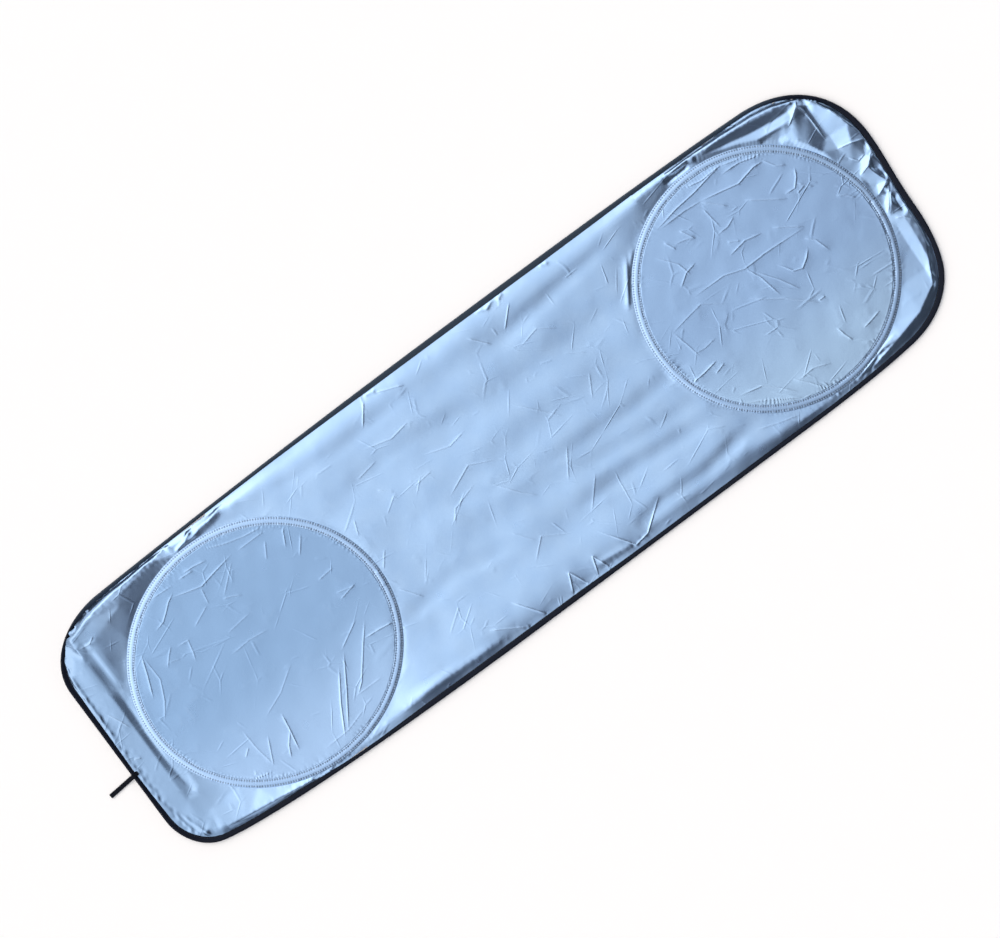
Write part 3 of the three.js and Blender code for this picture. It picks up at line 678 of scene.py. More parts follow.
def margin_roll(x, y, seams):
    """The roll of slack cloth between the tape and the hoops, crumpled at the two ends."""
    from_edge, from_band, to_ring, share = seams
    gap = from_edge + from_band
    crest, high = along_tape(CRESTS, share)
    rise = np.minimum(crest * gap, ROLL_CREST)
    fall = np.minimum(gap - rise, ROLL_FOOT)
    up = np.clip(from_edge / np.maximum(rise, 1), 0, 1)
    down = np.clip((from_edge - rise) / np.maximum(fall, 1), 0, 1)
    steep = 1 - (1 - up) ** 2
    slide = STRAIGHT * (1 - down) + ROUNDED * (1 - smooth(down, 0, 1))
    high *= np.clip(gap / ROLL_NEEDS, 0, 1)
    narrow = steep * (HOOP_RISE + (high - HOOP_RISE) * slide)
    wide = steep * high * slide + HOOP_RISE * (1 - smooth(from_band, 0, HOOP_FOOT))
    wider = smooth(gap, *WIDE_GAPS)
    roll = narrow * (1 - wider) + wide * wider
    for side, start in NET_STARTS.items():
        there = (x * side > start * side) & (to_ring >= 0)
        share_of_net = smooth(x[there] * side, start * side, start * side + NET_FADE)
        crumpled = net_height(make_net(side), x[there], y[there])
        roll[there] += share_of_net * (crumpled - roll[there])
    return roll


def soft_waves(x, y, seams):
    """Waves along the wide middle, and a slight unevenness everywhere."""
    from_edge, from_band, to_ring, _ = seams
    inside = to_ring < 0
    waves = WAVE_HEIGHT * np.sin(2 * math.pi * (y + 40) / WAVE_LENGTH)
    waves = waves * smooth(from_edge + from_band, *WAVE_GAPS)
    waves *= 0.6 + 0.4 * np.sin(x / 97 + 1)
    uneven = np.where(inside, UNEVEN_DRUM, UNEVEN_MARGIN) * ripple(x, y, 1, 7, 120)
    return waves * ~inside + (uneven + UNEVEN_FINE * ripple(x, y, 2, 9, 38))


# %% [markdown]
# A crease is a low wide fold, and the stronger ones have a pinched ridge on top. The side of
# a pinch that faces the light is the wider one, so the creases read as bright lines.

# %% Creases and pinches
CREASE_HEIGHT, CREASE_WIDTH, CREASE_SHARP = 0.26, 2.8, 0.7
PINCHED = 0.5  # creases at least this high are pinched
PINCH_HEIGHT, PINCH_SHARP = 0.38, 0.8
PINCH_LIT = 2.0
PINCH_SHADED = 1.1
UPHILL = (-0.76, 0.65)  # towards the light


def add_pinch(lift, x, y, height, line):
    """A sharp little fold that leans over, so its two sides are not equally steep."""
    span = np.subtract(line[-1], line[0])
    left_is_lit = -span[1] * UPHILL[0] + span[0] * UPHILL[1] > 0
    widths = (PINCH_LIT, PINCH_SHADED) if left_is_lit else (PINCH_SHADED, PINCH_LIT)
    add_fold(lift, x, y, height, *widths, PINCH_SHARP, line)


def add_folds_and_creases(lift, x, y):
    for height, left, right, sharp, line in FOLDS:
        add_fold(lift, x, y, height, left, right, sharp, line)
    for height, left, right, line in ALL_CREASES:
        if height >= PINCHED:
            add_pinch(lift, x, y, PINCH_HEIGHT * height, line)
        low, left, right = CREASE_HEIGHT * height, CREASE_WIDTH * left, CREASE_WIDTH * right
        add_fold(lift, x, y, low, left, right, CREASE_SHARP, line)


# %% [markdown]
# Thread draws the cloth in along every seam. Beside a hoop that makes short puckers that
# point to the hoop's middle, and along the tape it makes an uneven ripple.

# %% Puckers along the seams
PUCKERS_ROUND = 230  # the pace of the puckers round a hoop
HOOP_MIDDLE = 480
PUCKER_DRUM, PUCKER_MARGIN = 0.42, 0.16


def hoop_puckers(x, y, seams):
    _, from_band, to_ring, _ = seams
    around = np.arctan2(y - OVALS["left"][1], np.abs(x) - HOOP_MIDDLE)
    drawn_in = np.clip(0.45 + 0.55 * ripple(x, y, 6, 5, 70), 0, 1.3)
    pucker = np.where(to_ring < 0, PUCKER_DRUM, PUCKER_MARGIN) * np.exp(-from_band / 7)
    pucker = pucker * smooth(from_band, 0, 2)
    return pucker * (np.sin(around * PUCKERS_ROUND + 3 * ripple(x, y, 3, 5, 40)) * drawn_in)


def tape_puckers(x, y, seams):
    """The ripple beside the tape, which is stronger at the left end."""
    from_edge = seams[0]
    ruffle = np.exp(-from_edge / 8) * smooth(from_edge, 0, 2) * ripple(x, y, 4, 9, 9)
    return ruffle * (0.25 + 0.3 * smooth(-x, 690, 725))


# %% [markdown]
# The sum of all these shapes is the sheet's height. Under a hoop's wire the sheet is pressed
# down, and a little further where the joining tube makes the wire thicker.

# %% The height of every point
DRUM_SAG = 0.3
SLEEVE_DIP = 0.65
WIRE_REACH = (4.2, 6.2)
LOWEST = -1.0


def cloth_lift(x, y):
    """How high the slack cloth stands over its flat level, in millimetres."""
    seams = from_seams(x, y)
    from_edge, from_band, to_ring, _ = seams
    lift = soft_waves(x, y, seams)
    add_folds_and_creases(lift, x, y)
    held = smooth(from_edge, -0.5, 4) * smooth(from_band, 0, 6)
    drum = DRUM_LEVEL - SHEET_LEVEL - DRUM_SAG * smooth(from_band, 0, 150)
    base = np.where(to_ring < 0, drum, margin_roll(x, y, seams))
    lift = base + lift * held + hoop_puckers(x, y, seams) + tape_puckers(x, y, seams)
    sleeve = np.maximum(*[near_sleeve(x, y, ring) for ring in OVALS.values()])
    under = WIRE_LEVEL - SHEET_LEVEL - SLEEVE_DIP * sleeve
    under_wire = 1 - smooth(np.abs(to_ring), *WIRE_REACH)
    return np.maximum(lift * (1 - under_wire) + under * under_wire, LOWEST)


# %% [markdown]
# ## The silver sheet
#
# The sheet starts as a grid, like cloth on a cutting table. Faces outside the outline are
# deleted, and the ragged rim lies hidden in the fold of the tape. Faces near the seams and
# the creases are subdivided, because that is where the cloth bends in a few millimetres.
# Then every vertex gets its height. A cloth simulation could give slack folds too, but it
# would put them where it likes, and these have to lie where they lie on the real shade.

# %% Reading and writing a mesh


def corners_of(mesh):
    flat = np.empty(len(mesh.vertices) * 3, np.float32)
    mesh.vertices.foreach_get("co", flat)
    return flat.reshape(-1, 3).astype(float)


def set_corners(mesh, points):
    mesh.vertices.foreach_set("co", np.asarray(points, np.float32).ravel())
    mesh.update()


def face_middles(mesh):
    middles = np.empty(len(mesh.polygons) * 3, np.float32)
    mesh.polygons.foreach_get("center", middles)
    return middles.reshape(-1, 3).astype(float)[:, :2].T


def edit_faces(piece, chosen, operator, **settings):
    """Runs an edit-mode operator on the chosen faces alone."""
    take(piece)
    bpy.ops.object.mode_set(mode="EDIT")
    bpy.ops.mesh.select_mode(type="FACE")
    bpy.ops.mesh.select_all(action="DESELECT")
    bpy.ops.object.mode_set(mode="OBJECT")
    piece.data.polygons.foreach_set("select", np.asarray(chosen, bool))
    piece.data.update()
    bpy.ops.object.mode_set(mode="EDIT")
    operator(**settings)
    bpy.ops.object.mode_set(mode="OBJECT")


def store(piece, name, values):
    """Keeps one number for each vertex, for the material to read."""
    attribute = piece.data.attributes.new(name, "FLOAT", "POINT")
    attribute.data.foreach_set("value", np.asarray(values, np.float32))


# %% [markdown]
# Three rounds of subdivision follow the cloth's detail: near every seam and crease first,
# then near the sharp ones, and last right on the ridges. The vertices that lie almost on a
# crease are moved onto it, so that its ridge is a clean line.

# %% Where the sheet needs a finer mesh
CREASE_LINES = [row[-1] for row in ALL_CREASES]
SHARP_LINES = [row[-1] for row in CREASES if row[0] >= PINCHED]
FOLD_LINES = [row[-1] for row in FOLDS if row[3] > 0]
NET_LINES = [[point[:2] for point in line] for line in LEFT_EDGES + RIGHT_EDGES]
SNAP = 0.4


def near_lines(x, y, rows, reach):
    """True where a point is within reach of one of the lines."""
    near = np.zeros(x.shape, bool)
    for line in rows:
        line = np.array(line, float)
        box = in_box(x, y, line, reach)
        near[box] |= np.abs(to_line(x[box], y[box], line)[0]) < reach
    return near


def halved(x, y):
    """Beside the hoops, in the narrow margins and near every fold and crease."""
    from_edge, from_band, to_ring, _ = from_seams(x, y)
    margin = (from_edge + from_band < 70) & (to_ring > 0) & (np.abs(x) > 400)
    folded = near_lines(x, y, CREASE_LINES, 5) | near_lines(x, y, FOLD_LINES, 8)
    return (np.abs(to_ring) < 18) | margin | folded


def quartered(x, y):
    """At the bands' edges, on the sharper creases and on the edges of crumpled cloth."""
    away = np.abs(from_seams(x, y)[2])
    folded = near_lines(x, y, SHARP_LINES, 3) | near_lines(x, y, FOLD_LINES + NET_LINES, 4)
    return ((away > 5) & (away < 10)) | folded


def cut_in_eight(x, y):
    """Right on the sharper creases, and on the small facets at the right end."""
    facets = near_lines(x, y, NET_LINES, 2) & (x > 690) & (y < 110)
    return near_lines(x, y, SHARP_LINES, 1.4) | facets


def snap_to_creases(points, lines):
    """Moves the vertices that are nearly on a crease right onto it."""
    x, y = points[:, 0].copy(), points[:, 1].copy()
    for line in lines:
        line = np.array(line, float)
        for start, end in zip(line[:-1], line[1:]):
            length = np.hypot(*(end - start))
            span = (end - start) / length
            along = (x - start[0]) * span[0] + (y - start[1]) * span[1]
            away = (y - start[1]) * span[0] - (x - start[0]) * span[1]
            near = (along > 0) & (along < length) & (np.abs(away) < SNAP)
            points[near, 0] = x[near] + away[near] * span[1]
            points[near, 1] = y[near] - away[near] * span[0]


print("lines to follow", len(CREASE_LINES), len(FOLD_LINES), len(NET_LINES))

# %% Cut and raise the sheet
PANEL = (1500, 460)
CELL = 6.6
TUCKED = 4.4  # the sheet's rim stops this far inside the outline
WORN_WIDTH = 1.8


def make_sheet():
    deselect()
    cells = [round(side / CELL) for side in PANEL]
    bpy.ops.mesh.primitive_grid_add(x_subdivisions=cells[0], y_subdivisions=cells[1], size=1)
    sheet = bpy.context.object
    sheet.name = sheet.data.name = "silver_sheet"
    set_corners(sheet.data, corners_of(sheet.data) * (*PANEL, 1))
    outside = to_line(*face_middles(sheet.data), sparse_outline, closed=True)[0] > -TUCKED
    edit_faces(sheet, outside, bpy.ops.mesh.delete, type="FACE")
    for chosen in (halved, quartered, cut_in_eight):
        fine = chosen(*face_middles(sheet.data))
        edit_faces(sheet, fine, bpy.ops.mesh.subdivide, number_cuts=1)

    points = corners_of(sheet.data)
    snap_to_creases(points, SHARP_LINES)
    x, y = points[:, 0], points[:, 1]
    worn = np.zeros(x.shape)
    for height, _, _, line in ALL_CREASES:
        add_fold(worn, x, y, height, WORN_WIDTH, WORN_WIDTH, 0.5, line)
    store(sheet, "worn", np.clip(worn, 0, 1))
    within = -np.minimum(*[to_oval(x, y, ring) for ring in OVALS.values()])
    # The drum share also places the painted shading of the drums in the material.
    store(sheet, "drum", smooth(within, 0, 8))
    points[:, 2] = SHEET_LEVEL + cloth_lift(x, y)
    set_corners(sheet.data, place(points))
    bpy.ops.object.shade_smooth()
    return sheet


silver_sheet = make_sheet()
silver_sheet.data.calc_loop_triangles()
print("silver sheet", len(silver_sheet.data.loop_triangles), "triangles")

# %% [markdown]
# ## Strips of cloth
#
# The tape and the two bands are long strips sewn along a line. Each is a cross-section
# carried along a closed line, as cloth that follows a seam does. Every vertex also knows how
# far along the strip and across it lies, in a UV map, so that ribs and weave follow the strip.

# %% Sweep a strip


def add_piece(name, points, faces):
    """A new piece from points in millimetres and four-sided faces, selected and active."""
    mesh = bpy.data.meshes.new(name)
    mesh.from_pydata(place(points.reshape(-1, 3)), [], faces.reshape(-1, 4).tolist())
    piece = bpy.data.objects.new(name, mesh)
    bpy.context.collection.objects.link(piece)
    take(piece)
    return piece


def sweep_strip(name, loop, sections):
    """A closed strip. sections has, for each point of the loop, its inset and height points."""
    count, across = sections.shape[:2]
    normals = inward(loop)
    points = np.empty((count, across, 3))
    points[..., :2] = loop[:, None] + sections[..., :1] * normals[:, None]
    points[..., 2] = sections[..., 1]
    ids = np.arange(count * across).reshape(count, across)
    ahead = np.roll(ids, -1, axis=0)
    faces = np.stack([ids[:, :-1], ids[:, 1:], ahead[:, 1:], ahead[:, :-1]], axis=-1)
    piece = add_piece(name, points, faces)
    step = np.hypot(*(np.roll(loop, -1, axis=0) - loop).T).mean()
    width = np.hypot(*np.diff(sections[0], axis=0).T)
    v = np.r_[0, np.cumsum(width)]
    corner = np.array([[0, 0], [0, 1], [1, 1], [1, 0]])
    u_ids = np.arange(count)[:, None, None] + corner[:, 0]
    v_ids = np.arange(across - 1)[None, :, None] + corner[:, 1]
    u, v = np.broadcast_arrays(u_ids * step, v[v_ids])
    layer = piece.data.uv_layers.new(name="strip")
    layer.data.foreach_set("uv", np.stack([u, v], axis=-1).ravel().astype(np.float32))
    bpy.ops.object.shade_smooth()
    return piece


# %% [markdown]
# ## The bands over the hoops
#
# Each hoop of wire lies under a band of the same silver cloth, stitched down on both sides
# of the wire. So the band has a hump in the middle, a dip along each row of stitches, and
# small puckers across it, because the thread pulls the cloth together. The arc of a band
# whose outside faces the light slopes up to the drum, and the arc across from it is flatter.

# %% The two bands
STITCH_PITCH = 4.0
STITCH_ROWS = (-4.0, 4.0)
# Two cross-sections: the inset from the hoop's line, below zero outside it, and the height.
BAND_SLOPING = [
    (-6.8, 2.5), (-6.3, 3.0), (-5.0, 3.45), (-4.0, 3.65), (-2.4, 4.1), (-1.2, 4.38), (0, 4.5),
    (1.2, 4.6), (2.5, 4.66), (4.0, 4.7), (5.5, 4.8), (6.3, 4.72), (6.8, 4.4),
]
BAND_FLAT = [
    (-6.8, 2.5), (-6.4, 3.2), (-5.4, 3.8), (-4.0, 4.05), (-2.4, 4.35), (-1.2, 4.5), (0, 4.55),
    (1.2, 4.55), (2.5, 4.5), (4.0, 4.5), (5.5, 4.6), (6.3, 4.6), (6.8, 4.3),
]
BAND_CELL = 1.0
BAND_SEEDS = {"left": 3, "right": 5}
BAND_INSETS = [6.6, 6.1, 5.5, 4.8, 4.0, 3.2, 2.6, 2.0, 1.3, 0.6]
NOISE_POINTS = 512
PUCKER_SIZES = ((2.8, 0.13), (11, 0.14))  # the length and height of short and long puckers
HOLE_INSET = 4.2
SLEEVE_BULGE = 0.7
SLEEVE_HALF = 3  # the bulge is within this inset


def oval_loop(ring, pitch):
    """A hoop's line, clockwise, as points at an even pitch."""
    cx, cy, a, b = ring
    angle = np.linspace(0, -2 * math.pi, 1500, endpoint=False)
    return even_loop(np.c_[cx + a * np.cos(angle), cy + b * np.sin(angle)], pitch)


def needle_holes(across, along):
    """1 at the needle holes of the band's two rows of stitches, fading to 0 round them."""
    beat = np.abs(np.mod(along / STITCH_PITCH + 0.5, 1) - 0.5) * STITCH_PITCH
    return np.exp(-(((np.abs(across) - HOLE_INSET) / 1.6) ** 2) - (beat / 0.9) ** 2)


def uphill_share(loop):
    """1 where a clockwise loop's outside faces UPHILL, 0 on its other side."""
    return smooth(inward(loop) @ UPHILL, 0.5, -0.5)


def band_height(across, along, sloping, seed):
    """The height of the band, with its hump, its stitched dips and its puckers."""
    noise = np.random.default_rng(seed).normal(size=(2, NOISE_POINTS))
    ids = np.arange(NOISE_POINTS)
    pucker = sum(
        high * np.interp(along / length % (NOISE_POINTS - 1), ids, row)
        for (length, high), row in zip(PUCKER_SIZES, noise)
    )
    side = np.abs(across)
    base = sloping * np.interp(across, *np.transpose(BAND_SLOPING))
    base = base + (1 - sloping) * np.interp(across, *np.transpose(BAND_FLAT))
    hole = 0.1 * np.exp(-(((side - 4) / 1.2) ** 2)) + 0.4 * needle_holes(across, along)
    puff = smooth(side, 2.2, 4) * (1 - smooth(side, 6.0, 6.6))
    return base - hole + puff * pucker


def make_band(side):
    ring = OVALS[side]
    loop = oval_loop(ring, BAND_CELL)
    across = np.r_[-np.array(BAND_INSETS), BAND_INSETS[::-1]]
    along = np.arange(len(loop)) * BAND_CELL
    sloping = uphill_share(loop)[:, None]
    heights = band_height(across[None], along[:, None], sloping, BAND_SEEDS[side])
    bulge = SLEEVE_BULGE * near_sleeve(*loop.T, ring)
    heights += bulge[:, None] * (np.abs(across) < SLEEVE_HALF)
    sections = np.stack([np.broadcast_to(across, heights.shape), heights], axis=-1)
    band = sweep_strip(f"{side}_hoop_band", loop, sections)
    store(band, "hole", needle_holes(across[None], along[:, None]).ravel())
    return band


bands = {side: make_band(side) for side in SIDES}
print("bands", [len(band.data.polygons) for band in bands.values()])

# %% [markdown]
# ## The tape round the edge
#
# A black woven tape is folded over the edge, with the frame's wire in its fold. Seen from
# above it isn't equally wide everywhere, because it rolled a little as it was sewn. The
# widths are read off the photograph at a few places and blended between them.

# %% The tape
TAPE_WIDTHS = [
    ((-750, -125), 8.5), ((-750, -77), 6.8), ((-750, -29), 6), ((-750, 19), 7.2),
    ((-750, 67), 7.8), ((-750, 116), 9), ((-738, 162), 9), ((-704, 195), 8), ((-660, 214), 8),
    ((-612, 219), 6.2), ((-564, 220), 6), ((-516, 222), 5.6), ((-468, 223), 5.4),
    ((-372, 226), 5.5), ((-276, 228), 6.2), ((-180, 229), 7.6), ((-83, 230), 9),
    ((61, 230), 9.5), ((205, 230), 9.5), ((302, 229), 9), ((398, 228), 7.4), ((494, 226), 7),
    ((590, 222), 6.4), ((683, 201), 6), ((720, 170), 6.5), ((743, 128), 8.5), ((750, 81), 9.8),
    ((747, 33), 10), ((743, -15), 8.8), ((740, -63), 9.5), ((734, -111), 7.5),
    ((719, -156), 9), ((645, -215), 9), ((550, -227), 8), ((454, -230), 7), ((358, -230), 7.8),
    ((213, -230), 7.2), ((69, -230), 7), ((-27, -230), 9), ((-172, -230), 9.5),
    ((-316, -228), 9), ((-412, -225), 6), ((-460, -223), 5.6), ((-556, -218), 9),
    ((-699, -200), 9),
]
BULGE = 2.4
TAPE_THICK = 0.65
TAPE_PITCH = 2.5
ROLLED = range(60, 271, 21)  # degrees round the wire, over the outside of the fold
TURNED_BACK = range(270, 59, -42)
LUMP_SEED = 11
LUMP_COUNT = 1600
LUMP_LENGTH = 3.2
LUMP_HEIGHT = 0.07
SEAM_JOIN = 8  # the last lumps lead back to the first


def tape_widths(loop):
    """The tape's width at each point of a loop, from the places that are listed."""
    return along_tape(TAPE_WIDTHS, np.arange(len(loop)) / len(loop))[0]


def round_wire(radius, turns):
    """Points round the wire in the tape's fold."""
    angles = [math.radians(turn) for turn in turns]
    return [(BULGE + radius * math.cos(a), BULGE + radius * math.sin(a)) for a in angles]


def tape_section(width):
    """Inset and height round the folded tape: over, round the wire, under and back inside."""
    over = [(width, 1.5), (width, 2.2), (width - 0.5, 2.45), ((width + 4) / 2, 3.3)]
    under = [(width - 0.4, 0.0), (width, 0.3), (width - 0.3, TAPE_THICK)]
    back = round_wire(BULGE - TAPE_THICK, TURNED_BACK)
    return over + round_wire(BULGE, ROLLED) + under + back + [(width, 1.5)]


def make_tape():
    loop = edge_loop(TAPE_PITCH)
    sections = np.array([tape_section(width) for width in tape_widths(loop)])
    noise = np.random.default_rng(LUMP_SEED).normal(size=LUMP_COUNT)
    lumps = np.interp(np.arange(len(loop)) / LUMP_LENGTH, np.arange(LUMP_COUNT), noise)
    lumps[-SEAM_JOIN:] = np.linspace(lumps[-SEAM_JOIN], lumps[0], SEAM_JOIN + 1)[:-1]
    top = sections[..., 1] > 1.6
    sections[..., 1] += top * LUMP_HEIGHT * lumps[:, None]
    return sweep_strip("edge_tape", loop, sections)


edge_tape = make_tape()
print("tape", len(edge_tape.data.polygons), "faces")

# %% [markdown]
# ## The closing strap
#
# A loop of ribbed black elastic holds the shade when it is twisted small. It starts on top
# of the tape, droops over the edge and lies doubled on the table. One ribbon is run out
# along the upper layer, round the tip and back, and then Solidify gives it its thickness.

# %% The strap
STRAP_WIDE = 7.0
STRAP_THICK = 0.55
STRAP_PLACE = (-750.0, -40.0)
STRAP_TURN = math.radians(185)
# Points under the ribbon, out from the tape's place and up from the table.
STRAP_UNDER = [
    (-9, 2.65), (-6.5, 3.5), (-3.6, 4.9), (-2.4, 5.15), (-1.2, 5.05), (0.9, 4.3), (3.2, 3.1),
    (6.5, 1.6), (9.5, 0.75), (12, 0.3), (15, 0.05), (20, 0.0), (26, 0.1), (33, 0.0), (40, 0.0),
    (44.6, 0.0),
]
LAYERS = (1.6, 0.4)  # the upper and the lower layer, up from those points
TIP_RADIUS = 0.6
RIB_UP, RIB_DOWN, SELVAGE = 0.09, -0.06, -0.12
RIBS = 15


def shifted(line, offset):
    """An open line moved sideways by offset."""
    along = np.gradient(line, axis=0)
    along /= np.hypot(*along.T)[:, None]
    return line + offset * np.c_[-along[:, 1], along[:, 0]]


def ribbon_path():
    """The ribbon seen from its edge: out on top, round the tip and back below."""
    upper, lower = [shifted(np.array(STRAP_UNDER, float), layer) for layer in LAYERS]
    tip = lower[-1] + (0.4, 0.6)
    turn = np.radians([60, 30, 0, -30, -60])
    round_tip = np.c_[tip[0] + TIP_RADIUS * np.cos(turn), tip[1] + TIP_RADIUS * np.sin(turn)]
    return np.vstack([upper, round_tip, lower[::-1]])


def make_strap():
    path = ribbon_path()
    across = np.linspace(-STRAP_WIDE / 2, STRAP_WIDE / 2, RIBS)
    rib = np.where(np.arange(RIBS) % 2, RIB_UP, RIB_DOWN)
    rib[[0, -1]] = SELVAGE
    normals = shifted(path, 1.0) - path
    out = path[:, None, 0] + rib * normals[:, None, 0]
    up = path[:, None, 1] + rib * normals[:, None, 1]
    side = np.broadcast_to(across, out.shape)
    cos, sin = math.cos(STRAP_TURN), math.sin(STRAP_TURN)
    x = STRAP_PLACE[0] + out * cos - side * sin
    y = STRAP_PLACE[1] + out * sin + side * cos
    ids = np.arange(out.size).reshape(out.shape)
    faces = np.stack([ids[:-1, :-1], ids[1:, :-1], ids[1:, 1:], ids[:-1, 1:]], axis=-1)
    strap = add_piece("closing_strap", np.stack([x, y, up], axis=-1), faces)
    thick = strap.modifiers.new("thickness", "SOLIDIFY")
    thick.thickness = STRAP_THICK * MM
    thick.offset = 0
    bpy.ops.object.modifier_apply(modifier=thick.name)
    bpy.ops.object.shade_smooth_by_angle(angle=math.radians(50))
    return strap


closing_strap = make_strap()
print("strap", len(closing_strap.data.polygons), "faces")

# %% [markdown]
# ## Stitches
#
# One stitch is modelled once: a short thick thread whose ends dive into the cloth. An Array
# modifier repeats it along the length of a seam, and a Curve modifier bends that row onto
# the seam. The seam's curve has the height of the cloth under it, so no stitch floats.

# %% One stitch
STITCH_SIZE = (2.4, 0.6, 0.5)  # a ball 1 mm across becomes this long, wide and thick
DIVE = 0.2  # the thread goes this far down
DIVE_AT = 1.5  # at this distance from its middle


def make_stitch():
    deselect()
    bpy.ops.mesh.primitive_uv_sphere_add(segments=8, ring_count=6, radius=0.5 * MM)
    stitch = bpy.context.object
    bpy.ops.object.mode_set(mode="EDIT")
    bpy.ops.transform.rotate(value=math.pi / 2, orient_axis="Y", center_override=(0, 0, 0))
    bpy.ops.transform.resize(value=STITCH_SIZE, center_override=(0, 0, 0))
    bpy.ops.object.mode_set(mode="OBJECT")
    points = corners_of(stitch.data)
    points[:, 2] -= DIVE * MM * (points[:, 0] / (DIVE_AT * MM)) ** 2
    points[:, 0] += STITCH_PITCH / 2 * MM
    set_corners(stitch.data, points)
    bpy.ops.object.shade_smooth()
    return stitch


one_stitch = make_stitch()
print("stitch", len(one_stitch.data.polygons), "faces", list(one_stitch.dimensions))

# %% [markdown]
# Both rows of a band follow its two seams, and a single row follows the tape's inner edge.

# %% Rows of stitches
TAPE_SEAM = 1.3  # from the tape's inner edge
TAPE_SEAM_LEVEL = 2.72
THREAD_RISE = 0.08


def stitch_row(points):
    """A copy of the stitch, repeated along a closed line of points in millimetres."""
    curve = bpy.data.curves.new("seam", "CURVE")
    curve.dimensions = "3D"
    curve.twist_mode = "Z_UP"
    spline = curve.splines.new("POLY")
    spline.points.add(len(points) - 1)
    spline.points.foreach_set("co", np.c_[place(points), np.ones(len(points))].ravel())
    spline.use_cyclic_u = True
    seam = bpy.data.objects.new("seam", curve)
    bpy.context.collection.objects.link(seam)
    row = one_stitch.copy()
    row.data = one_stitch.data.copy()
    bpy.context.collection.objects.link(row)
    take(row)
    repeat = row.modifiers.new("repeat", "ARRAY")
    repeat.fit_type = "FIT_CURVE"
    repeat.curve = seam
    repeat.use_relative_offset = False
    repeat.use_constant_offset = True
    repeat.constant_offset_displace = (STITCH_PITCH * MM, 0, 0)
    bend = row.modifiers.new("bend", "CURVE")
    bend.object = seam
    bpy.ops.object.modifier_apply(modifier=repeat.name)
    bpy.ops.object.modifier_apply(modifier=bend.name)
    bpy.data.objects.remove(seam)
    return row


def join(pieces, name):
    deselect()
    for piece in pieces:
        piece.select_set(True)
    bpy.context.view_layer.objects.active = pieces[0]
    bpy.ops.object.join()
    pieces[0].name = pieces[0].data.name = name
    return pieces[0]


def band_stitches(side):
    loop = oval_loop(OVALS[side], BAND_CELL)
    along = np.arange(len(loop)) * BAND_CELL
    rows = []
    for inset in STITCH_ROWS:
        seam = loop + inset * inward(loop)
        insets = np.full(len(loop), inset)
        height = band_height(insets, along, uphill_share(loop), BAND_SEEDS[side])
        rows.append(stitch_row(np.c_[seam, height + THREAD_RISE]))
    return join(rows, f"{side}_band_stitches")


def tape_stitches():
    loop = edge_loop(TAPE_PITCH)
    seam = loop + (tape_widths(loop)[:, None] - TAPE_SEAM) * inward(loop)
    row = stitch_row(np.c_[seam, np.full(len(seam), TAPE_SEAM_LEVEL)])
    row.name = row.data.name = "tape_stitches"
    return row


band_threads = {side: band_stitches(side) for side in SIDES}
tape_thread = tape_stitches()
print("stitches", [len(row.data.polygons) for row in (*band_threads.values(), tape_thread)])
bpy.data.objects.remove(one_stitch)

# %% [markdown]
# ## Writing materials
#
# A material is a small sum over a surface: this colour, a little darker here, rougher there.
# The class below wraps one output of a node, so that such sums can be written as sums.

# %% Shader arithmetic


class Value:
    """The output of a node. Arithmetic on it adds the Math nodes that work it out."""

    def __init__(self, tree, socket):
        self.tree = tree
        self.socket = socket

    def node(self, kind, settings=None, inputs=None, output=0):
        """Adds any node: first its settings, then the values or links of its sockets."""
        made = self.tree.nodes.new(kind)
        for name, setting in (settings or {}).items():
            if name == "stops":
                while len(made.color_ramp.elements) < len(setting):
                    made.color_ramp.elements.new(1.0)
                for element, (position, colour) in zip(made.color_ramp.elements, setting):
                    element.position = position
                    element.color = (*colour, 1)
            else:
                setattr(made, name, setting)
        for name, value in (inputs or {}).items():
            if isinstance(value, Value):
                self.tree.links.new(value.socket, made.inputs[name])
            else:
                made.inputs[name].default_value = value
        return Value(self.tree, made.outputs[output])

    def math(self, operation, *others):
        values = {i: other for i, other in enumerate((self, *others))}
        return self.node("ShaderNodeMath", {"operation": operation}, values)

    def __add__(self, other):
        return self.math("ADD", other)

    __radd__ = __add__

    def __mul__(self, other):
        return self.math("MULTIPLY", other)

    __rmul__ = __mul__

    def __sub__(self, other):
        return self.math("SUBTRACT", other)

    def __rsub__(self, other):
        return (self * -1) + other

    def blend(self, low, high):
        """A colour between two others, low where this value is 0 and high where it is 1."""
        made = self.tree.nodes.new("ShaderNodeMix")
        made.data_type = "RGBA"
        self.tree.links.new(self.socket, made.inputs[0])
        for index, colour in ((6, low), (7, high)):
            if isinstance(colour, Value):
                self.tree.links.new(colour.socket, made.inputs[index])
            else:
                made.inputs[index].default_value = (*colour, 1)
        return Value(self.tree, made.outputs[2])

    def noise(self, size_mm, detail=2):
        """Noise over this position, in metres, with lumps of about size_mm."""
        inputs = {"Vector": self, "Scale": 1000 / size_mm, "Detail": detail}
        return self.node("ShaderNodeTexNoise", {}, inputs)

    def split(self):
        made = self.tree.nodes.new("ShaderNodeSeparateXYZ")
        self.tree.links.new(self.socket, made.inputs[0])
        return [Value(self.tree, output) for output in made.outputs]

    def between(self, low, high):
        """0 below low, 1 above high, and smooth between."""
        inputs = {"Value": self, "From Min": low, "From Max": high}
        return self.node("ShaderNodeMapRange", {"interpolation_type": "SMOOTHSTEP"}, inputs)

    def wave(self, length):
        """A wave from -1 to 1 that repeats after each length of this value."""
        return (self * (2 * math.pi / length)).math("SINE")

    def stored(self, name):
        """A number that was stored for each vertex of the piece."""
        return self.node("ShaderNodeAttribute", {"attribute_name": name}, {}, "Fac")


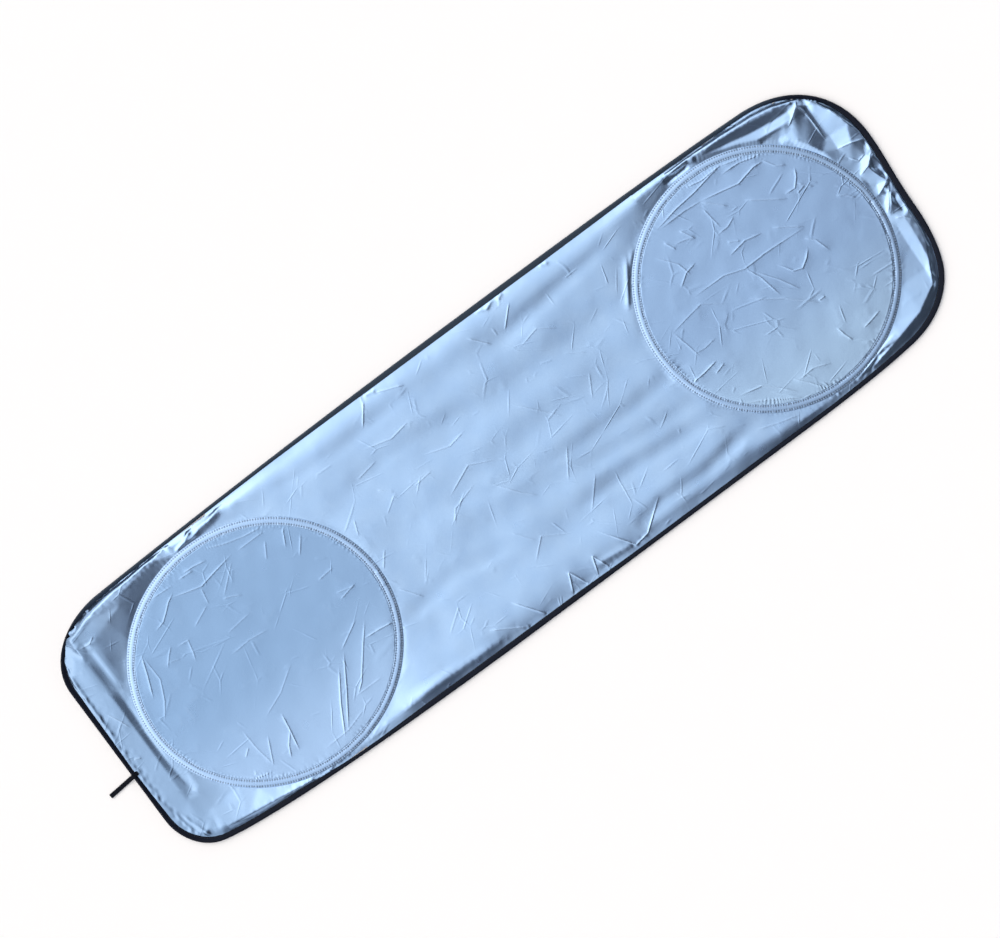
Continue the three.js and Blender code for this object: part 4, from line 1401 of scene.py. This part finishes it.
def new_material(name, metallic=0.0):
    """A material, its shader node and the position on the piece that its patterns read."""
    material = bpy.data.materials.new(name)
    material.use_nodes = True
    tree = material.node_tree
    shader = tree.nodes["Principled BSDF"]
    shader.inputs["Metallic"].default_value = metallic
    coords = tree.nodes.new("ShaderNodeTexCoord")
    return material, shader, Value(tree, coords.outputs["Object"])


def feed(shader, **values):
    """Links worked-out values to the shader's sockets, underscores standing for spaces."""
    for name, value in values.items():
        value.tree.links.new(value.socket, shader.inputs[name.replace("_", " ")])


def bump(height_mm):
    """A normal from a height in millimetres."""
    inputs = {"Height": height_mm, "Distance": MM, "Strength": 1.0}
    return height_mm.node("ShaderNodeBump", {}, inputs)


# %% [markdown]
# ## The silver cloth
#
# Thin polyester with an aluminium coating is neither a mirror nor a paint. It is metallic,
# with a broad soft highlight, so each slope takes the colour of what it faces. The coating
# is a little paler where it is creased, and the threads of the weave show close up.

# %% Silver cloth
SILVER = (0.355, 0.54, 0.83)
SILVER_PALE = (0.445, 0.635, 0.90)
SILVER_WORN = (0.55, 0.70, 0.90)
SILVER_END = (0.225, 0.345, 0.53)  # the left end is darker than the rest
# Painted shading inside the hoops: the drums are darker towards the top and the left end, and
# lighter towards the bottom and the right end, in place of the light on each drum's slight tilt.
LEFT_DRUM_PAINTED_SHADING = (0.247, 0.395, 0.625)
LEFT_DRUM_LOW_PAINTED_SHADING = (0.375, 0.55, 0.82)
RIGHT_DRUM_PAINTED_SHADING = (0.38, 0.57, 0.87)
RIGHT_DRUM_LOW_PAINTED_SHADING = (0.51, 0.73, 1.0)
WEAVE_PITCH = 0.7
WEAVE_DEPTH = 0.0012
HAIRLINES = [(57, 46), (-31, 38), (14, 58)]  # the way they run, in degrees, and their spacing
HAIRLINE_DEPTH = 0.18
HAIRLINE_STRETCH = (2.4, 1, 1)


def weave(position):
    """The height of threads that go over and under each other."""
    x, y, _ = position.split()
    return x.wave(WEAVE_PITCH * MM) * y.wave(WEAVE_PITCH * MM) * WEAVE_DEPTH


def hairlines(position, degrees, size_mm):
    """Fine long creases that run one way, as a height from 0 to 1: borders of narrow cells."""
    turn = (0, 0, math.radians(degrees))
    inputs = {"Vector": position, "Rotation": turn, "Scale": HAIRLINE_STRETCH}
    turned = position.node("ShaderNodeMapping", {"vector_type": "TEXTURE"}, inputs)
    cells = {"Vector": turned, "Scale": 1000 / size_mm}
    border = position.node("ShaderNodeTexVoronoi", {"feature": "DISTANCE_TO_EDGE"}, cells)
    kept = turned.noise(34, 2).between(0.53, 0.66)
    return (1 - border * (size_mm * 0.8)).math("MAXIMUM", 0.0) * kept


def silver_cloth():
    material, shader, position = new_material("silver coated polyester", metallic=0.97)
    x, y, _ = position.split()
    worn, drum = position.stored("worn"), position.stored("drum")
    mottle = position.noise(38, 3)
    tone = (mottle * 0.9).blend(SILVER, SILVER_PALE)
    tone = x.between(-0.69, -0.59).blend(SILVER_END, tone)
    # Painted shading on the drums: darker to the top and the left, lighter to the bottom and the
    # right.
    along = x.between(-0.55, 0.62)
    low_drums_painted_shading = along.blend(LEFT_DRUM_LOW_PAINTED_SHADING, RIGHT_DRUM_LOW_PAINTED_SHADING)
    drum_painted_shading = y.between(-0.19, 0.0).blend(low_drums_painted_shading, along.blend(LEFT_DRUM_PAINTED_SHADING, RIGHT_DRUM_PAINTED_SHADING))
    tone = drum.blend(tone, drum_painted_shading)
    tone = (worn * 0.12).blend(tone, SILVER_WORN)
    threads = weave(position) + position.noise(7, 3) * 0.05
    grain = position.noise(2.2, 2) * 0.012
    crinkle = sum(hairlines(position, *line) * HAIRLINE_DEPTH for line in HAIRLINES)
    rough = mottle * 0.08 + worn * 0.08 + 0.25
    feed(shader, Base_Color=tone, Roughness=rough, Normal=bump(threads + grain + crinkle))
    return material


# %% [markdown]
# The bands are the same cloth, but doubled and pulled tight, so they are less glossy. Each
# needle hole gets a small dark dot of painted shade.

# %% Silver bands
BAND_SILVER = (0.40, 0.58, 0.86)
HOLE_PAINTED_SHADE = (0.03, 0.045, 0.08)


def silver_band():
    material, shader, position = new_material("silver hoop band", metallic=0.8)
    mottle = position.noise(9, 3)
    # Painted shade: each needle hole is darkened to a small dark dot.
    tone = (position.stored("hole") * 0.9).blend(mottle.blend(SILVER, BAND_SILVER), HOLE_PAINTED_SHADE)
    height = weave(position) + position.noise(2.4, 3) * 0.06
    feed(shader, Base_Color=tone, Roughness=mottle * 0.12 + 0.3, Normal=bump(height))
    return material


# %% [markdown]
# ## Tape, elastic, thread and metal
#
# The tape is a matt twill, so its ribs run along it and are read from the strip's UV map.
# The elastic has cross cords between its ribs. The thread is a slightly shiny polyester.
# The wires and their joining tubes are hidden, but they get their metal all the same.

# %% Black tape and elastic
TAPE_DARK = (0.001, 0.003, 0.010)
TAPE_PALE = (0.004, 0.008, 0.021)
TAPE_PAINTED_SHEEN = (0.045, 0.068, 0.10)
ELASTIC_DARK = (0.001, 0.002, 0.006)
ELASTIC_PALE = (0.004, 0.007, 0.015)
TWILL, TAPE_RIB, CORD = 0.9, 1.6, 1.1  # pitches in millimetres


def strip_position(position):
    """Millimetres along and across a strip, from its UV map."""
    return position.node("ShaderNodeUVMap", {"uv_map": "strip"}).split()


def black_tape():
    material, shader, position = new_material("black edge tape")
    along, across, _ = strip_position(position)
    twill = (along + across * 0.8).wave(TWILL)
    rib = across.wave(TAPE_RIB)
    lint = position.noise(1.2, 4)
    tone = (lint * 0.5 + rib * 0.15 + 0.2).blend(TAPE_DARK, TAPE_PALE)
    # Painted sheen: the tape along the shade's upper long side is lighter, for the bright side
    # that it faces.
    tone = (position.split()[1].between(0.195, 0.225) * 0.8).blend(tone, TAPE_PAINTED_SHEEN)
    shader.inputs["Specular IOR Level"].default_value = 0.14
    shader.inputs["Sheen Weight"].default_value = 0.03
    shader.inputs["Sheen Roughness"].default_value = 0.4
    height = twill * 0.03 + rib * 0.03 + lint * 0.03
    feed(shader, Base_Color=tone, Roughness=lint * 0.15 + 0.55, Normal=bump(height))
    return material


def black_elastic():
    material, shader, position = new_material("black ribbed elastic")
    cords = position.split()[0].wave(CORD * MM)
    lint = position.noise(0.9, 3)
    tone = (lint * 0.6 + cords * 0.2 + 0.1).blend(ELASTIC_DARK, ELASTIC_PALE)
    shader.inputs["Specular IOR Level"].default_value = 0.1
    shader.inputs["Sheen Weight"].default_value = 0.03
    feed(shader, Base_Color=tone, Roughness=lint * 0.2 + 0.6, Normal=bump(cords * 0.05))
    return material


# %% [markdown]
# The last materials are plain ones: a thread of twisted plies, and metal with fine streaks.

# %% Threads and metal
PLY_PITCH = 0.5


def thread(name, dark, light):
    material, shader, position = new_material(name)
    lint = position.noise(0.8, 2)
    plies = position.split()[0].wave(PLY_PITCH * MM)
    shader.inputs["Sheen Weight"].default_value = 0.2
    feed(shader, Base_Color=lint.blend(dark, light), Roughness=lint * 0.2 + 0.4,
         Normal=bump(plies * 0.02))
    return material


def drawn_metal(name, dark, light, streak_mm):
    material, shader, position = new_material(name, metallic=1.0)
    streak = position.noise(streak_mm, 4)
    feed(shader, Base_Color=streak.blend(dark, light), Roughness=streak * 0.2 + 0.25,
         Normal=bump(streak * 0.03))
    return material


# %% [markdown]
# ## Dressing the frame
#
# Each new piece is tied to the one rigid body, takes the place of the imported solid that it
# stands for, and wears its material.

# %% Materials and bodies


def wear(piece, material):
    piece.data.materials.clear()
    piece.data.materials.append(material)


def dress(piece, material, slot, *nodes):
    wear(piece, material)
    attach(piece, "root")
    if nodes:
        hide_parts(*nodes)


dress(silver_sheet, silver_cloth(), "silver_cloth", "reflective_panel")
dress(edge_tape, black_tape(), "black_tape", "edge_binding")
dress(closing_strap, black_elastic(), "black_elastic", "fold_strap")
band_material = silver_band()
pale_thread = thread("pale thread", (0.22, 0.31, 0.48), (0.44, 0.55, 0.72))
for side, band in bands.items():
    dress(band, band_material, "silver_band", f"{side}_ring_channel")
    dress(band_threads[side], pale_thread, "silver_band")
dark_thread = thread("black thread", (0.008, 0.01, 0.018), (0.03, 0.035, 0.05))
dress(tape_thread, dark_thread, "black_tape")

steel = drawn_metal("spring steel", (0.22, 0.24, 0.26), (0.42, 0.44, 0.46), 3)
brass = drawn_metal("crimped brass", (0.36, 0.24, 0.07), (0.6, 0.44, 0.18), 2)
metal_nodes = [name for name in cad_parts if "wire" in name or "sleeve" in name]
for name in metal_nodes:
    wear(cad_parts[name], brass if "sleeve" in name else steel)
print("metal that keeps its packed shape", metal_nodes)

# %% [markdown]
# The sheet is the one large piece of cloth. It was cut to the size of the panel, and the
# spring wire holds it stretched.

# %% [markdown]
# ## Camera
#
# The photograph was taken from straight above, with the shade turned. The point under the
# camera and the width that it sees were measured on the photograph.

# %% Camera
VIEW_WIDTH = 1.5396
CAMERA_HEIGHT = 3.5
CAMERA_OVER = (-13.9, 3.0)
SHADE_TURN = math.radians(-36.65)
SENSOR = 36

deselect()
camera_spot = place(CAMERA_OVER)
bpy.ops.object.camera_add(location=(*camera_spot, CAMERA_HEIGHT), rotation=(0, 0, SHADE_TURN))
camera = bpy.context.object
camera.data.sensor_width = SENSOR
camera.data.lens = SENSOR * CAMERA_HEIGHT / VIEW_WIDTH
bpy.context.scene.camera = camera
print("camera over", [round(v, 4) for v in camera_spot], "lens", round(camera.data.lens, 2))

# %% [markdown]
# ## Light
#
# Metallic cloth shows its surroundings, so the surroundings are the lighting here. They are
# a studio with a bright wall on one side and a dark one on the other, written as a smooth
# gradient round the world. Low down the walls are pale all round, so that the shade still
# looks like silver from the side.

# %% World
BRIGHT_SIDE = (*UPHILL, 0.0)
LOW_WALL = (0.84, 0.85, 0.88)
WALL_STOPS = [
    (0.0, (0.008, 0.008, 0.012)), (0.2, (0.012, 0.012, 0.017)), (0.35, (0.085, 0.08, 0.10)),
    (0.40, (0.45, 0.45, 0.49)), (0.44, (0.93, 0.94, 0.96)), (0.51, (1, 1, 1)),
    (0.66, (1, 0.985, 0.97)), (0.82, (1, 0.92, 0.84)),
]
WALL_TOP = (0.2, 0.42)  # where the low wall ends and the gradient begins
BRIGHTER = 1.4


def make_world():
    world = bpy.data.worlds.new("studio")
    bpy.context.scene.world = world
    world.use_nodes = True
    tree = world.node_tree
    background = tree.nodes["Background"]
    coords = tree.nodes.new("ShaderNodeTexCoord")
    look = Value(tree, coords.outputs["Generated"])
    towards = {0: look, 1: BRIGHT_SIDE}
    side = look.node("ShaderNodeVectorMath", {"operation": "DOT_PRODUCT"}, towards, "Value")
    upper = look.split()[2].between(*WALL_TOP)
    wall = side.node("ShaderNodeValToRGB", {"stops": WALL_STOPS}, {"Fac": side * 0.5 + 0.5})
    shade = upper.blend(LOW_WALL, wall)
    level = side.between(0.02, 0.62) * upper * BRIGHTER + 1.0
    lit = shade.node("ShaderNodeVectorMath", {"operation": "SCALE"}, {0: shade, "Scale": level})
    tree.links.new(lit.socket, background.inputs["Color"])
    return world


print("world", make_world().name)

# %% [markdown]
# The floor is white paper, and reaches past every view. It has a faint glow for the camera
# and for reflections alone. That makes the paper white in the picture, and the shade's
# shadow stays on it.

# %% Floor
FLOOR_SIZE = 80
FLOOR_LEVEL = -0.0004
PAPER = (0.95, 0.955, 0.965)
PAPER_PALE = (0.96, 0.965, 0.975)
GLOW = (0.035, 0.04, 0.055)
SEEN_BY = ("Is Camera Ray", "Is Glossy Ray", "Is Transmission Ray")


def make_floor():
    deselect()
    bpy.ops.mesh.primitive_plane_add(size=FLOOR_SIZE, location=(0, 0, FLOOR_LEVEL))
    floor = bpy.context.object
    floor.name = floor.data.name = "floor"
    material, shader, position = new_material("white floor")
    seen = sum(position.node("ShaderNodeLightPath", {}, {}, kind) for kind in SEEN_BY)
    paper = position.noise(60, 2).blend(PAPER, PAPER_PALE)
    feed(shader, Base_Color=paper, Emission_Color=seen.blend((0, 0, 0), GLOW))
    shader.inputs["Emission Strength"].default_value = 1.0
    shader.inputs["Roughness"].default_value = 0.9
    wear(floor, material)
    return floor


floor = make_floor()
bpy.context.scene.view_settings.view_transform = "Standard"
print("floor", list(floor.dimensions))
